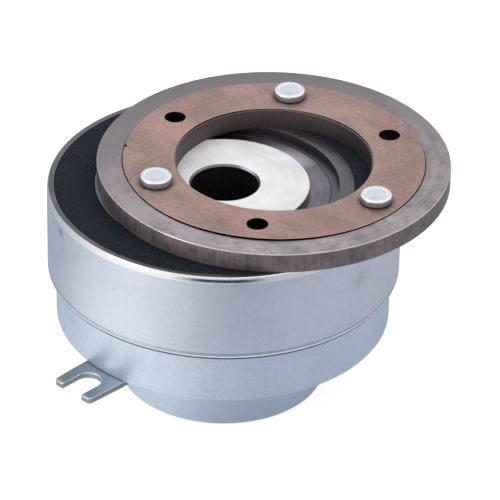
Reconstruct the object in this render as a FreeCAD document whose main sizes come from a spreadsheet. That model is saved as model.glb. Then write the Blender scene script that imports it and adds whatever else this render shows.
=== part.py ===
import FreeCAD, Part
import math
import os
from enum import IntEnum, auto
from types import SimpleNamespace

import Sketcher

# Single-plate electromagnetic clutch brake, 100 mm class, in millimetres.
# +Z runs along the shaft from the rear of the bearing boss to the friction face.
# The origin is on the shaft axis, in the plane of the boss's rear face.
# The forked arm that stops the field from turning points along -Y.

# Driving sizes: lengths in millimetres, angles in degrees, counts as whole numbers.
SIZES = {
    # Rotor drum with its two friction poles
    "rim_wall": 2.0,
    "skirt_gap": 0.4,
    "rotor_depth": 26.0,
    "rim_top_round": 0.6,
    "rim_bottom_round": 0.9,
    "web_thickness": 5.0,
    "recess_margin": 2.3,
    "pole_ring_width": 4.2,
    "recess_depth": 2.3,
    "flux_slot_inset": 2.5,
    "flux_slot_width": 4.0,
    "flux_slot_angle": 44.0,
    "flux_slot_count": 6,
    # Friction lining between the poles
    "lining_thickness": 3.0,
    "lining_drop": 0.1,
    # Rotor hub
    "bore_radius": 9.5,
    "bore_chamfer": 0.55,
    "rear_bore_chamfer": 0.4,
    "keyway_width": 6.0,
    "keyway_depth": 2.8,
    "keyway_angle": -84.0,
    "nose_radius": 23.9,
    "nose_drop": 0.1,
    "nose_chamfer": 0.3,
    "tube_radius": 25.2,
    "tube_floor_gap": 2.0,
    "hub_flange_step": 4.8,
    "hub_wall": 4.5,
    "hub_shoulder_step": 3.0,
    "hub_rear_gap": 0.2,
    # Field shell, its back plate and its inner pole
    "shell_wall": 4.0,
    "shell_rear": 20.5,
    "shell_edge_round": 0.6,
    "back_plate": 6.0,
    "pole_gap": 1.0,
    "core_gap": 0.4,
    "core_wall": 5.4,
    "boss_wall": 3.5,
    "boss_chamfer": 0.8,
    # Coil, whose window sets the radius of the shell and of the drum round it
    "coil_window": 12.6,
    "coil_clearance": 0.2,
    "bobbin_wall": 1.0,
    "winding_height": 20.0,
    "winding_drop": 0.8,
    "resin_depth": 2.2,
    "resin_drop": 2.8,
    # Ball bearing between hub and boss
    "bearing_section": 12.0,
    "bearing_width": 12.0,
    "bearing_rear": 4.4,
    "race_wall": 3.2,
    "race_chamfer": 0.6,
    "ball_radius": 3.5,
    "ball_count": 10,
    "race_clearance": 0.15,
    "pocket_clearance": 0.2,
    "cage_wall": 2.6,
    "cage_reach": 4.8,
    "cage_prong": 1.8,
    "shield_thickness": 0.5,
    "shield_drop": 0.3,
    "shield_gap": 0.3,
    "housing_land": 2.5,
    # Retaining rings
    "ring_play": 0.05,
    "housing_ring_thickness": 2.0,
    "housing_groove_depth": 1.5,
    "housing_ring_width": 2.8,
    "hub_ring_thickness": 1.5,
    "hub_groove_depth": 0.7,
    "hub_ring_width": 2.6,
    "ring_opening": 5.0,
    "ring_eye_radius": 2.1,
    "ring_eye_hole": 1.0,
    # Forked torque arm
    "arm_thickness": 2.0,
    "arm_overhang": 12.0,
    "arm_taper": 0.4,
    "arm_boss_gap": 3.0,
    "arm_corner": 1.2,
    "arm_edge_round": 0.35,
    "prong_width": 3.35,
    "fork_slot_width": 7.4,
    "fork_slot_depth": 10.0,
    "weld_radius": 2.0,
    "weld_depth": 0.3,
    "weld_inset": 5.6,
    "weld_spacing": 7.0,
    # Lead outlet in the back plate
    "lead_inset": 7.0,
    "lead_angle": 134.0,
    "lead_hole_radius": 4.0,
    "grommet_flange_step": 1.6,
    "grommet_flange": 1.6,
    "wire_hole_radius": 0.9,
    "wire_spacing": 3.0,
    "wire_hole_depth": 5.0,
    # Armature, which lies on the friction face off the shaft axis
    "armature_offset": 14.0,
    "armature_bearing": 56.4,
    "armature_turn": 6.7,
    "disc_inset": 0.2,
    "disc_inner_ledge": 0.4,
    "disc_thickness": 5.8,
    "disc_chamfer": 0.3,
    "fastening_circle": 35.5,
    "mounting_clearance_radius": 4.5,
    # Leaf spring, pressed flat at the rivets and bowed up at the mounting holes
    "spring_outer_margin": 7.0,
    "spring_inner_margin": 7.5,
    "spring_thickness": 0.3,
    "spring_bow": 0.3,
    "spring_seat_gap": 0.02,
    "spring_wave_point_count": 12,
    "mounting_hole_radius": 3.05,
    "notch_radius": 0.8,
    "notch_angle": 210.0,
    # Rivets
    "rivet_count": 3,
    "rivet_head_radius": 4.5,
    "rivet_head_height": 2.4,
    "rivet_head_round": 0.7,
    "rivet_seat_gap": 0.03,
    "rivet_shank_radius": 2.5,
    "rivet_tail_radius": 4.0,
    "rivet_tail_depth": 2.0,
    "rivet_tail_thickness": 1.2,
    "rivet_hole_clearance": 0.15,
}

# How close a found edge must lie to the place it is looked for
NEAR = 1e-4
FULL_TURN = 360.0
# How far a cutter stands out of what it cuts
CUT_MARGIN = 0.5


class SketchPoint(IntEnum):
    """The three points of a sketch element that a constraint can hold."""

    START = auto()
    FINISH = auto()
    CENTRE = auto()


START, FINISH, CENTRE = SketchPoint


class Size:
    """A number with the sheet expression that gives it, so that worked-out sizes stay bound to the sheet."""

    def __init__(self, value, text):
        self.value = value
        self.text = text

    def __add__(self, other):
        other = as_size(other)
        return Size(self.value + other.value, "(%s + %s)" % (self.text, other.text))

    def __sub__(self, other):
        other = as_size(other)
        return Size(self.value - other.value, "(%s - %s)" % (self.text, other.text))

    def __mul__(self, other):
        other = as_size(other)
        return Size(self.value * other.value, "(%s * %s)" % (self.text, other.text))

    def __truediv__(self, other):
        other = as_size(other)
        return Size(self.value / other.value, "(%s / %s)" % (self.text, other.text))

    def __neg__(self):
        return Size(-self.value, "(0 - %s)" % self.text)


def as_size(item):
    """A plain number as a Size."""
    if isinstance(item, Size):
        return item
    return Size(float(item), repr(float(item)))


def cosine(angle):
    return Size(math.cos(math.radians(angle.value)), "cos(%s * 1 deg)" % angle.text)


def sine(angle):
    return Size(math.sin(math.radians(angle.value)), "sin(%s * 1 deg)" % angle.text)


doc = FreeCAD.newDocument("ClutchBrake")


def fill_sheet():
    """Writes each size to the sheet, with its name as the cell's alias."""
    sheet = doc.addObject("Spreadsheet::Sheet", "Sizes")
    for row, (name, number) in enumerate(SIZES.items(), 1):
        sheet.set("A%d" % row, name)
        sheet.set("B%d" % row, str(number))
        sheet.setAlias("B%d" % row, name)
    doc.recompute()
    return SimpleNamespace(**{name: Size(float(value), "Sizes." + name) for name, value in SIZES.items()})


s = fill_sheet()

ZERO = as_size(0)

# Radii that several pieces share, from the shaft outwards
bearing_inner_radius = s.bore_radius + s.hub_wall
bearing_outer_radius = bearing_inner_radius + s.bearing_section
pitch_radius = (bearing_inner_radius + bearing_outer_radius) / 2
inner_land = bearing_inner_radius + s.race_wall
outer_land = bearing_outer_radius - s.race_wall
race_radius = s.ball_radius + s.race_clearance
boss_radius = bearing_outer_radius + s.boss_wall
core_inner = s.tube_radius + s.core_gap
core_outer = core_inner + s.core_wall
shell_inner = core_outer + s.coil_window
shell_radius = shell_inner + s.shell_wall
drum_inner = shell_radius + s.skirt_gap
rotor_radius = drum_inner + s.rim_wall
hub_flange_radius = s.tube_radius + s.hub_flange_step
pole_ring_inner = hub_flange_radius + s.recess_margin
pole_ring_outer = pole_ring_inner + s.pole_ring_width

# Heights that several pieces share, from the boss's rear face to the rivets
bearing_front = s.bearing_rear + s.bearing_width
bearing_middle = s.bearing_rear + s.bearing_width / 2
tube_bottom = s.shell_rear + s.tube_floor_gap
plate_front = s.shell_rear + s.back_plate
winding_bottom = plate_front + s.bobbin_wall
winding_top = winding_bottom + s.winding_height
bobbin_top = winding_top + s.bobbin_wall
resin_front = bobbin_top + s.resin_depth
shell_front = resin_front + s.resin_drop
web_bottom = shell_front + s.pole_gap
lining_seat = web_bottom + s.web_thickness
face_height = lining_seat + s.lining_thickness
drum_bottom = face_height - s.rotor_depth
recess_floor = face_height - s.recess_depth
hub_face = face_height - s.nose_drop
disc_top = face_height + s.disc_thickness
spring_seat = disc_top + s.spring_seat_gap
spring_top_at_rivet = spring_seat + s.spring_thickness

# Places of the armature, the forked arm and the lead outlet, seen along the shaft
armature_x = s.armature_offset * cosine(s.armature_bearing)
armature_y = s.armature_offset * sine(s.armature_bearing)
arm_reach = shell_radius + s.arm_overhang
arm_inner_end = boss_radius + s.arm_boss_gap
lead_place = core_outer + s.lead_inset
lead_x = lead_place * cosine(s.lead_angle)
lead_y = lead_place * sine(s.lead_angle)
spring_outer_radius = s.fastening_circle + s.spring_outer_margin
spring_inner_radius = s.fastening_circle - s.spring_inner_margin


def bind(item, name, size):
    """Sets a property and binds it to the sheet."""
    item.setExpression(name, as_size(size).text)


def start_body(label):
    body = doc.addObject("PartDesign::Body", label)
    body.Label = label
    return body


def origin_feature(body, role):
    """One of the body's own origin planes or axes."""
    return [feature for feature in body.Origin.OriginFeatures if feature.Role == role][0]


def attached_sketch(body, name, role):
    """An empty sketch on one of the body's own origin planes."""
    sketch = body.newObject("Sketcher::SketchObject", name)
    sketch.AttachmentSupport = (origin_feature(body, role), [""])
    sketch.MapMode = "FlatFace"
    return sketch


def lift_sketch(sketch, height):
    """Moves a sketch off its plane, along the plane's normal."""
    bind(sketch, "AttachmentOffset.Base.z", height)


def place_point(sketch, geometry, end, x, y):
    """Holds one point of a sketch at bound distances from the sketch's origin."""
    for kind, size in (("DistanceX", x), ("DistanceY", y)):
        size = as_size(size)
        number = sketch.addConstraint(Sketcher.Constraint(kind, -1, START, geometry, end, size.value))
        sketch.setExpression("Constraints[%d]" % number, size.text)


def add_line(sketch, start, end):
    """A straight line between two (x, y) points."""
    sketch.addGeometry(
        Part.LineSegment(
            FreeCAD.Vector(start[0].value, start[1].value, 0),
            FreeCAD.Vector(end[0].value, end[1].value, 0),
        ),
        False,
    )


def join_ends(sketch, first, last):
    """Makes one element end where another starts."""
    sketch.addConstraint(Sketcher.Constraint("Coincident", first, FINISH, last, START))


def draw_outline(sketch, points):
    """A closed outline of straight lines through the points."""
    corners = [(as_size(x), as_size(y)) for x, y in points]
    count = len(corners)
    for index in range(count):
        add_line(sketch, corners[index], corners[(index + 1) % count])
    for index in range(count):
        join_ends(sketch, index, (index + 1) % count)
    for index, (x, y) in enumerate(corners):
        place_point(sketch, index, START, x, y)


def draw_circle(sketch, x, y, radius):
    """A circle with bound centre and radius."""
    x, y, radius = as_size(x), as_size(y), as_size(radius)
    centre = FreeCAD.Vector(x.value, y.value, 0)
    number = sketch.addGeometry(Part.Circle(centre, FreeCAD.Vector(0, 0, 1), radius.value), False)
    place_point(sketch, number, CENTRE, x, y)
    held = sketch.addConstraint(Sketcher.Constraint("Radius", number, radius.value))
    sketch.setExpression("Constraints[%d]" % held, radius.text)


def turned_body(label, outline):
    """A body turned about the Z axis from an outline of (radius, height) points."""
    body = start_body(label)
    sketch = attached_sketch(body, label + "_section", "XZ_Plane")
    draw_outline(sketch, outline)
    turn = body.newObject("PartDesign::Revolution", label + "_turned")
    turn.Profile = sketch
    turn.ReferenceAxis = (sketch, ["V_Axis"])
    turn.Angle = FULL_TURN
    doc.recompute()
    return body


def ring_body(label, inner, outer, bottom, top):
    return turned_body(label, [(inner, bottom), (outer, bottom), (outer, top), (inner, top)])


def ring_edges(shape, radius, height):
    """Names of the round edges about the Z axis with this radius and height."""
    found = []
    for number, edge in enumerate(shape.Edges, 1):
        if not isinstance(edge.Curve, Part.Circle):
            continue
        centre = edge.Curve.Center
        if (
            abs(edge.Curve.Radius - radius.value) < NEAR
            and abs(centre.z - height.value) < NEAR
            and math.hypot(centre.x, centre.y) < NEAR
        ):
            found.append("Edge%d" % number)
    if not found:
        raise ValueError("no round edge of radius %.3f at height %.3f" % (radius.value, height.value))
    return found


def dress_edges(body, kind, size, edges):
    """Rounds (Fillet) or chamfers (Chamfer) named edges of the body's last feature."""
    base = body.Tip
    feature = body.newObject("PartDesign::" + kind, "%s_%s" % (body.Label, kind.lower()))
    feature.Base = (base, edges)
    bind(feature, "Radius" if kind == "Fillet" else "Size", size)
    doc.recompute()
    return feature


def dress_rings(body, kind, size, rings):
    """Rounds or chamfers the body's round edges, given as (radius, height) pairs."""
    edges = []
    for radius, height in rings:
        edges.extend(ring_edges(body.Tip.Shape, as_size(radius), as_size(height)))
    return dress_edges(body, kind, size, edges)


def must_cut(body, before):
    """Stops the build if the last feature took nothing away."""
    doc.recompute()
    if not body.Shape.Volume < before - NEAR:
        raise ValueError("%s: the last cut took nothing away" % body.Label)


def cut_through(body, name, draw, turn=None):
    """Cuts an outline drawn on the XY plane through the whole body."""
    before = body.Shape.Volume
    sketch = attached_sketch(body, name + "_outline", "XY_Plane")
    if turn is not None:
        sketch.AttachmentOffset = FreeCAD.Placement(FreeCAD.Vector(), FreeCAD.Rotation(turn.value, 0, 0))
        bind(sketch, "AttachmentOffset.Rotation.Yaw", turn)
    draw(sketch)
    pocket = body.newObject("PartDesign::Pocket", name)
    pocket.Profile = sketch
    pocket.Type = "ThroughAll"
    pocket.Midplane = True
    must_cut(body, before)
    return pocket


def cut_up(body, name, bottom, depth, draw):
    """Cuts an outline drawn at a height up into the body."""
    before = body.Shape.Volume
    sketch = attached_sketch(body, name + "_outline", "XY_Plane")
    lift_sketch(sketch, bottom)
    draw(sketch)
    pocket = body.newObject("PartDesign::Pocket", name)
    pocket.Profile = sketch
    pocket.Type = "Length"
    pocket.Reversed = True
    bind(pocket, "Length", depth)
    must_cut(body, before)
    return pocket


def repeat_round(body, features, count):
    """Repeats features evenly about the Z axis."""
    pattern = body.newObject("PartDesign::PolarPattern", features[0].Label + "_round")
    pattern.Originals = features
    pattern.Axis = (origin_feature(body, "Z_Axis"), [""])
    pattern.Angle = FULL_TURN
    bind(pattern, "Occurrences", count)
    body.Tip = pattern
    doc.recompute()
    return pattern


def move_to_armature(item):
    """Puts a piece of the armature, made about the Z axis, where the armature lies."""
    item.Placement = FreeCAD.Placement(
        FreeCAD.Vector(armature_x.value, armature_y.value, 0),
        FreeCAD.Rotation(s.armature_turn.value, 0, 0),
    )
    bind(item, "Placement.Base.x", armature_x)
    bind(item, "Placement.Base.y", armature_y)
    bind(item, "Placement.Rotation.Yaw", s.armature_turn)


# Rotor

def rotor_drum():
    """Turned drum: outer pole and rim in one, web with flux slots, and the inner pole ring."""
    body = turned_body(
        "rotor_drum",
        [
            (drum_inner, drum_bottom),
            (rotor_radius, drum_bottom),
            (rotor_radius, face_height),
            (drum_inner, face_height),
            (drum_inner, lining_seat),
            (pole_ring_outer, lining_seat),
            (pole_ring_outer, face_height),
            (pole_ring_inner, face_height),
            (pole_ring_inner, recess_floor),
            (hub_flange_radius, recess_floor),
            (hub_flange_radius, web_bottom),
            (drum_inner, web_bottom),
        ],
    )
    dress_rings(body, "Fillet", s.rim_top_round, [(rotor_radius, face_height)])
    dress_rings(body, "Fillet", s.rim_bottom_round, [(rotor_radius, drum_bottom)])
    before = body.Shape.Volume
    sketch = attached_sketch(body, "flux_slot_section", "XZ_Plane")
    slot_inner = pole_ring_outer + s.flux_slot_inset
    slot_outer = slot_inner + s.flux_slot_width
    slot_bottom = web_bottom - CUT_MARGIN
    slot_top = lining_seat + CUT_MARGIN
    draw_outline(
        sketch,
        [
            (slot_inner, slot_bottom),
            (slot_outer, slot_bottom),
            (slot_outer, slot_top),
            (slot_inner, slot_top),
        ],
    )
    slot = body.newObject("PartDesign::Groove", "flux_slot")
    slot.Profile = sketch
    slot.ReferenceAxis = (sketch, ["V_Axis"])
    slot.Midplane = True
    bind(slot, "Angle", s.flux_slot_angle)
    must_cut(body, before)
    repeat_round(body, [slot], s.flux_slot_count)
    return body


def friction_lining():
    """Friction material bonded between the two poles, a little below them."""
    return ring_body(
        "friction_lining", pole_ring_outer, drum_inner, lining_seat, face_height - s.lining_drop
    )


def rotor_hub():
    """Hub with keyed bore, bearing seat, ring groove, flux tube, flange and bright nose."""
    rear = s.hub_rear_gap
    groove_top = s.bearing_rear
    groove_bottom = groove_top - s.hub_ring_thickness - s.ring_play
    groove_radius = bearing_inner_radius - s.hub_groove_depth
    shoulder_radius = bearing_inner_radius + s.hub_shoulder_step
    body = turned_body(
        "rotor_hub",
        [
            (s.bore_radius, rear),
            (bearing_inner_radius, rear),
            (bearing_inner_radius, groove_bottom),
            (groove_radius, groove_bottom),
            (groove_radius, groove_top),
            (bearing_inner_radius, groove_top),
            (bearing_inner_radius, bearing_front),
            (shoulder_radius, bearing_front),
            (shoulder_radius, tube_bottom),
            (s.tube_radius, tube_bottom),
            (s.tube_radius, web_bottom),
            (hub_flange_radius, web_bottom),
            (hub_flange_radius, recess_floor),
            (s.nose_radius, recess_floor),
            (s.nose_radius, hub_face),
            (s.bore_radius, hub_face),
        ],
    )
    dress_rings(body, "Chamfer", s.bore_chamfer, [(s.bore_radius, hub_face)])
    dress_rings(body, "Chamfer", s.rear_bore_chamfer, [(s.bore_radius, rear)])
    dress_rings(body, "Chamfer", s.nose_chamfer, [(s.nose_radius, hub_face)])

    def key_slot(sketch):
        half = s.keyway_width / 2
        end = s.bore_radius + s.keyway_depth
        draw_outline(sketch, [(ZERO, -half), (end, -half), (end, half), (ZERO, half)])

    cut_through(body, "keyway", key_slot, s.keyway_angle)
    return body


# Field

def field_shell():
    """Outer pole of the field with its back plate, bored for the bearing boss and the lead."""
    body = turned_body(
        "field_shell",
        [
            (boss_radius, s.shell_rear),
            (shell_radius, s.shell_rear),
            (shell_radius, shell_front),
            (shell_inner, shell_front),
            (shell_inner, plate_front),
            (boss_radius, plate_front),
        ],
    )
    dress_rings(
        body,
        "Fillet",
        s.shell_edge_round,
        [(shell_radius, s.shell_rear), (shell_radius, shell_front)],
    )

    def lead_hole(sketch):
        draw_circle(sketch, lead_x, lead_y, s.lead_hole_radius)

    cut_through(body, "lead_hole", lead_hole)
    return body


def bearing_housing():
    """Boss that holds the bearing, pressed through the back plate, and the inner pole above it."""
    land = bearing_outer_radius - s.housing_land
    groove_top = s.bearing_rear
    groove_bottom = groove_top - s.housing_ring_thickness - s.ring_play
    groove_radius = bearing_outer_radius + s.housing_groove_depth
    body = turned_body(
        "bearing_housing",
        [
            (bearing_outer_radius, ZERO),
            (boss_radius, ZERO),
            (boss_radius, plate_front),
            (core_outer, plate_front),
            (core_outer, shell_front),
            (core_inner, shell_front),
            (core_inner, s.shell_rear),
            (land, s.shell_rear),
            (land, bearing_front),
            (bearing_outer_radius, bearing_front),
            (bearing_outer_radius, groove_top),
            (groove_radius, groove_top),
            (groove_radius, groove_bottom),
            (bearing_outer_radius, groove_bottom),
        ],
    )
    dress_rings(body, "Chamfer", s.boss_chamfer, [(boss_radius, ZERO)])
    return body


def torque_arm():
    """Forked arm under the back plate, which hooks on a fixed pin and stops the field from turning."""
    body = start_body("torque_arm")
    sketch = attached_sketch(body, "arm_outline", "XY_Plane")
    bottom = s.shell_rear - s.arm_thickness
    lift_sketch(sketch, bottom)
    slot_half = s.fork_slot_width / 2
    tip_half = slot_half + s.prong_width
    root_half = tip_half + s.arm_taper
    draw_outline(
        sketch,
        [
            (-tip_half, -arm_reach),
            (tip_half, -arm_reach),
            (root_half, -shell_radius),
            (root_half, -arm_inner_end),
            (-root_half, -arm_inner_end),
            (-root_half, -shell_radius),
        ],
    )
    pad = body.newObject("PartDesign::Pad", "arm_plate")
    pad.Profile = sketch
    bind(pad, "Length", s.arm_thickness)
    doc.recompute()

    turn_place = s.fork_slot_depth - arm_reach - slot_half

    def fork_slot(sketch):
        mouth = -(arm_reach + slot_half)
        corners = [
            (-slot_half, turn_place),
            (-slot_half, mouth),
            (slot_half, mouth),
            (slot_half, turn_place),
        ]
        for start, end in zip(corners, corners[1:]):
            add_line(sketch, start, end)
        round_end = Part.Circle(
            FreeCAD.Vector(0, turn_place.value, 0), FreeCAD.Vector(0, 0, 1), slot_half.value
        )
        last_line = 2
        round_side = sketch.addGeometry(Part.ArcOfCircle(round_end, 0, math.pi), False)
        join_ends(sketch, 0, 1)
        join_ends(sketch, 1, last_line)
        sketch.addConstraint(Sketcher.Constraint("Coincident", last_line, FINISH, round_side, START))
        sketch.addConstraint(Sketcher.Constraint("Coincident", round_side, FINISH, 0, START))
        for line, (x, y) in enumerate(corners[:-1]):
            place_point(sketch, line, START, x, y)
        place_point(sketch, last_line, FINISH, slot_half, turn_place)
        held = sketch.addConstraint(
            Sketcher.Constraint("DistanceY", -1, START, round_side, CENTRE, turn_place.value)
        )
        sketch.setExpression("Constraints[%d]" % held, turn_place.text)

    cut_through(body, "fork_slot", fork_slot)

    def weld_marks(sketch):
        for side in (-1, 1):
            draw_circle(sketch, s.weld_spacing / 2 * side, s.weld_inset - shell_radius, s.weld_radius)

    cut_up(body, "weld_marks", bottom, s.weld_depth, weld_marks)
    corners = [
        "Edge%d" % number
        for number, edge in enumerate(body.Tip.Shape.Edges, 1)
        if is_upright(edge) and is_arm_corner(edge)
    ]
    dress_edges(body, "Fillet", s.arm_corner, corners)
    rim = [
        "Edge%d" % number
        for number, edge in enumerate(body.Tip.Shape.Edges, 1)
        if is_level(edge) and edge.BoundBox.YMax < -shell_radius.value + NEAR
    ]
    dress_edges(body, "Fillet", s.arm_edge_round, rim)
    return body


def is_upright(edge):
    box = edge.BoundBox
    return box.XLength < NEAR and box.YLength < NEAR


def is_level(edge):
    return edge.BoundBox.ZLength < NEAR


def is_arm_corner(edge):
    """True at the fork's tips and at the arm's inner corners."""
    y = -edge.BoundBox.YMax
    return abs(y - arm_reach.value) < NEAR or abs(y - arm_inner_end.value) < NEAR


def lead_grommet():
    """Rubber bush in the back plate, where the two coil leads come out."""
    flange_bottom = s.shell_rear - s.grommet_flange
    flange_radius = s.lead_hole_radius + s.grommet_flange_step
    body = turned_body(
        "lead_grommet",
        [
            (ZERO, flange_bottom),
            (flange_radius, flange_bottom),
            (flange_radius, s.shell_rear),
            (s.lead_hole_radius, s.shell_rear),
            (s.lead_hole_radius, plate_front),
            (ZERO, plate_front),
        ],
    )

    def wire_holes(sketch):
        for side in (-1, 1):
            draw_circle(sketch, s.wire_spacing / 2 * side, ZERO, s.wire_hole_radius)

    cut_up(body, "wire_holes", flange_bottom, s.wire_hole_depth, wire_holes)
    body.Placement = FreeCAD.Placement(
        FreeCAD.Vector(lead_x.value, lead_y.value, 0), FreeCAD.Rotation(s.lead_angle.value, 0, 0)
    )
    bind(body, "Placement.Base.x", lead_x)
    bind(body, "Placement.Base.y", lead_y)
    bind(body, "Placement.Rotation.Yaw", s.lead_angle)
    return body


# Coil

bobbin_inner = core_outer + s.coil_clearance
bobbin_outer = shell_inner - s.coil_clearance
spool_radius = bobbin_inner + s.bobbin_wall


def coil_bobbin():
    """Spool that fills the field's annular space."""
    return turned_body(
        "coil_bobbin",
        [
            (bobbin_inner, plate_front),
            (bobbin_outer, plate_front),
            (bobbin_outer, winding_bottom),
            (spool_radius, winding_bottom),
            (spool_radius, winding_top),
            (bobbin_outer, winding_top),
            (bobbin_outer, bobbin_top),
            (bobbin_inner, bobbin_top),
        ],
    )


def coil_winding():
    """Copper winding on the spool."""
    outer = bobbin_outer - s.winding_drop
    return ring_body("coil_winding", spool_radius, outer, winding_bottom, winding_top)


def coil_resin():
    """Potting that closes the field above the coil."""
    return ring_body("coil_resin", core_outer, shell_inner, bobbin_top, resin_front)


# Bearing

def grooved_race(label, inner, outer, chamfered):
    """One bearing ring with its ball groove."""
    body = ring_body(label, inner, outer, s.bearing_rear, bearing_front)
    before = body.Shape.Volume
    sketch = attached_sketch(body, label + "_groove_section", "XZ_Plane")
    draw_circle(sketch, pitch_radius, bearing_middle, race_radius)
    groove = body.newObject("PartDesign::Groove", label + "_groove")
    groove.Profile = sketch
    groove.ReferenceAxis = (sketch, ["V_Axis"])
    groove.Angle = FULL_TURN
    must_cut(body, before)
    dress_rings(body, "Chamfer", s.race_chamfer, [(chamfered, s.bearing_rear), (chamfered, bearing_front)])
    return body


def bearing_outer_ring():
    return grooved_race(
        "bearing_outer_ring", outer_land, bearing_outer_radius, bearing_outer_radius
    )


def bearing_inner_ring():
    return grooved_race(
        "bearing_inner_ring", bearing_inner_radius, inner_land, bearing_inner_radius
    )


def ball_ring(label, radius):
    """The row of balls, or of ball pockets, as separate spheres."""
    balls = []
    for index in range(int(s.ball_count.value)):
        ball = doc.addObject("Part::Sphere", "%s_%d" % (label, index + 1))
        bind(ball, "Radius", radius)
        turn = as_size(FULL_TURN) * index / s.ball_count
        bind(ball, "Placement.Base.x", pitch_radius * cosine(turn))
        bind(ball, "Placement.Base.y", pitch_radius * sine(turn))
        bind(ball, "Placement.Base.z", bearing_middle)
        balls.append(ball)
    row = doc.addObject("Part::Compound", label)
    row.Label = label
    row.Links = balls
    doc.recompute()
    return row


def bearing_balls():
    return ball_ring("bearing_balls", s.ball_radius)


def tube(name, inner, outer, bottom, height):
    """A plain tube from two cylinders."""
    solids = []
    for part_name, radius in ((name + "_outside", outer), (name + "_inside", inner)):
        cylinder = doc.addObject("Part::Cylinder", part_name)
        bind(cylinder, "Radius", radius)
        bind(cylinder, "Height", height)
        bind(cylinder, "Placement.Base.z", bottom)
        solids.append(cylinder)
    result = doc.addObject("Part::Cut", name)
    result.Base, result.Tool = solids
    doc.recompute()
    return result


def bearing_cage():
    """Crown cage: a ring in front of the balls, with prongs that reach between them."""
    half_wall = s.cage_wall / 2
    ring = tube(
        "cage_ring",
        pitch_radius - half_wall,
        pitch_radius + half_wall,
        bearing_middle - s.cage_prong,
        s.cage_prong + s.cage_reach,
    )
    pockets = ball_ring("cage_pockets", s.ball_radius + s.pocket_clearance)
    cage = doc.addObject("Part::Cut", "bearing_cage")
    cage.Label = "bearing_cage"
    cage.Base = ring
    cage.Tool = pockets
    doc.recompute()
    return cage


def bearing_shields():
    """The two thin shields in the outer ring, which close the bearing."""
    shields = []
    inner = inner_land + s.shield_gap
    rear = s.bearing_rear + s.shield_drop
    front = bearing_front - s.shield_drop - s.shield_thickness
    for name, bottom in (("shield_rear", rear), ("shield_front", front)):
        shields.append(tube(name, inner, outer_land, bottom, s.shield_thickness))
    pair = doc.addObject("Part::Compound", "bearing_shields")
    pair.Label = "bearing_shields"
    pair.Links = shields
    doc.recompute()
    return pair


# Retaining rings

def retaining_ring(label, inner, outer, eye_place, thickness):
    """An open spring ring in its groove behind the bearing, with two eyes for the pliers."""
    bottom = s.bearing_rear - thickness
    cut_bottom = bottom - CUT_MARGIN
    cut_height = thickness + CUT_MARGIN * 2
    ring = tube(label + "_band", inner, outer, bottom, thickness)
    gap = doc.addObject("Part::Box", label + "_gap")
    bind(gap, "Length", s.ring_opening)
    bind(gap, "Width", outer * 2)
    bind(gap, "Height", cut_height)
    bind(gap, "Placement.Base.x", -(s.ring_opening / 2))
    bind(gap, "Placement.Base.z", cut_bottom)
    open_ring = doc.addObject("Part::Cut", label + "_open")
    open_ring.Base = ring
    open_ring.Tool = gap
    pieces = [open_ring]
    holes = []
    eye_x = s.ring_opening / 2 + s.ring_eye_radius
    for side in (-1, 1):
        for group, radius, start, height in (
            (pieces, s.ring_eye_radius, bottom, thickness),
            (holes, s.ring_eye_hole, cut_bottom, cut_height),
        ):
            name = "%s_%s_%d" % (label, "eye" if group is pieces else "hole", side + 1)
            cylinder = doc.addObject("Part::Cylinder", name)
            bind(cylinder, "Radius", radius)
            bind(cylinder, "Height", height)
            bind(cylinder, "Placement.Base.x", eye_x * side)
            bind(cylinder, "Placement.Base.y", eye_place)
            bind(cylinder, "Placement.Base.z", start)
            group.append(cylinder)
    with_eyes = doc.addObject("Part::MultiFuse", label + "_with_eyes")
    with_eyes.Shapes = pieces
    drilled = doc.addObject("Part::MultiFuse", label + "_holes")
    drilled.Shapes = holes
    result = doc.addObject("Part::Cut", label)
    result.Label = label
    result.Base = with_eyes
    result.Tool = drilled
    doc.recompute()
    return result


def housing_circlip():
    """Internal ring that holds the bearing in the boss."""
    outer = bearing_outer_radius + s.housing_groove_depth - s.ring_play
    inner = outer - s.housing_ring_width
    return retaining_ring("housing_circlip", inner, outer, inner, s.housing_ring_thickness)


def hub_circlip():
    """External ring that holds the hub in the bearing."""
    inner = bearing_inner_radius - s.hub_groove_depth + s.ring_play
    outer = inner + s.hub_ring_width
    return retaining_ring("hub_circlip", inner, outer, outer, s.hub_ring_thickness)


# Armature

def armature_disc():
    """Steel friction disc, drilled for the rivets and for the mounting screws' heads."""
    inner = spring_inner_radius - s.disc_inner_ledge
    outer = rotor_radius - s.disc_inset
    body = ring_body("armature_disc", inner, outer, face_height, disc_top)
    dress_rings(
        body,
        "Chamfer",
        s.disc_chamfer,
        [
            (outer, face_height),
            (outer, disc_top),
            (inner, disc_top),
        ],
    )
    turn = as_size(FULL_TURN / 2) / s.rivet_count
    hole_x = s.fastening_circle * cosine(turn)
    hole_y = s.fastening_circle * sine(turn)

    def mounting_hole(sketch):
        draw_circle(sketch, hole_x, hole_y, s.mounting_clearance_radius)

    def rivet_hole(sketch):
        radius = s.rivet_shank_radius + s.rivet_hole_clearance
        draw_circle(sketch, s.fastening_circle, ZERO, radius)

    def rivet_sink(sketch):
        radius = s.rivet_tail_radius + s.rivet_hole_clearance
        draw_circle(sketch, s.fastening_circle, ZERO, radius)

    cuts = [
        cut_through(body, "mounting_hole", mounting_hole),
        cut_through(body, "rivet_hole", rivet_hole),
        cut_up(body, "rivet_sink", face_height, s.rivet_tail_depth, rivet_sink),
    ]
    repeat_round(body, cuts, s.rivet_count)
    move_to_armature(body)
    doc.recompute()
    return body


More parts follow.
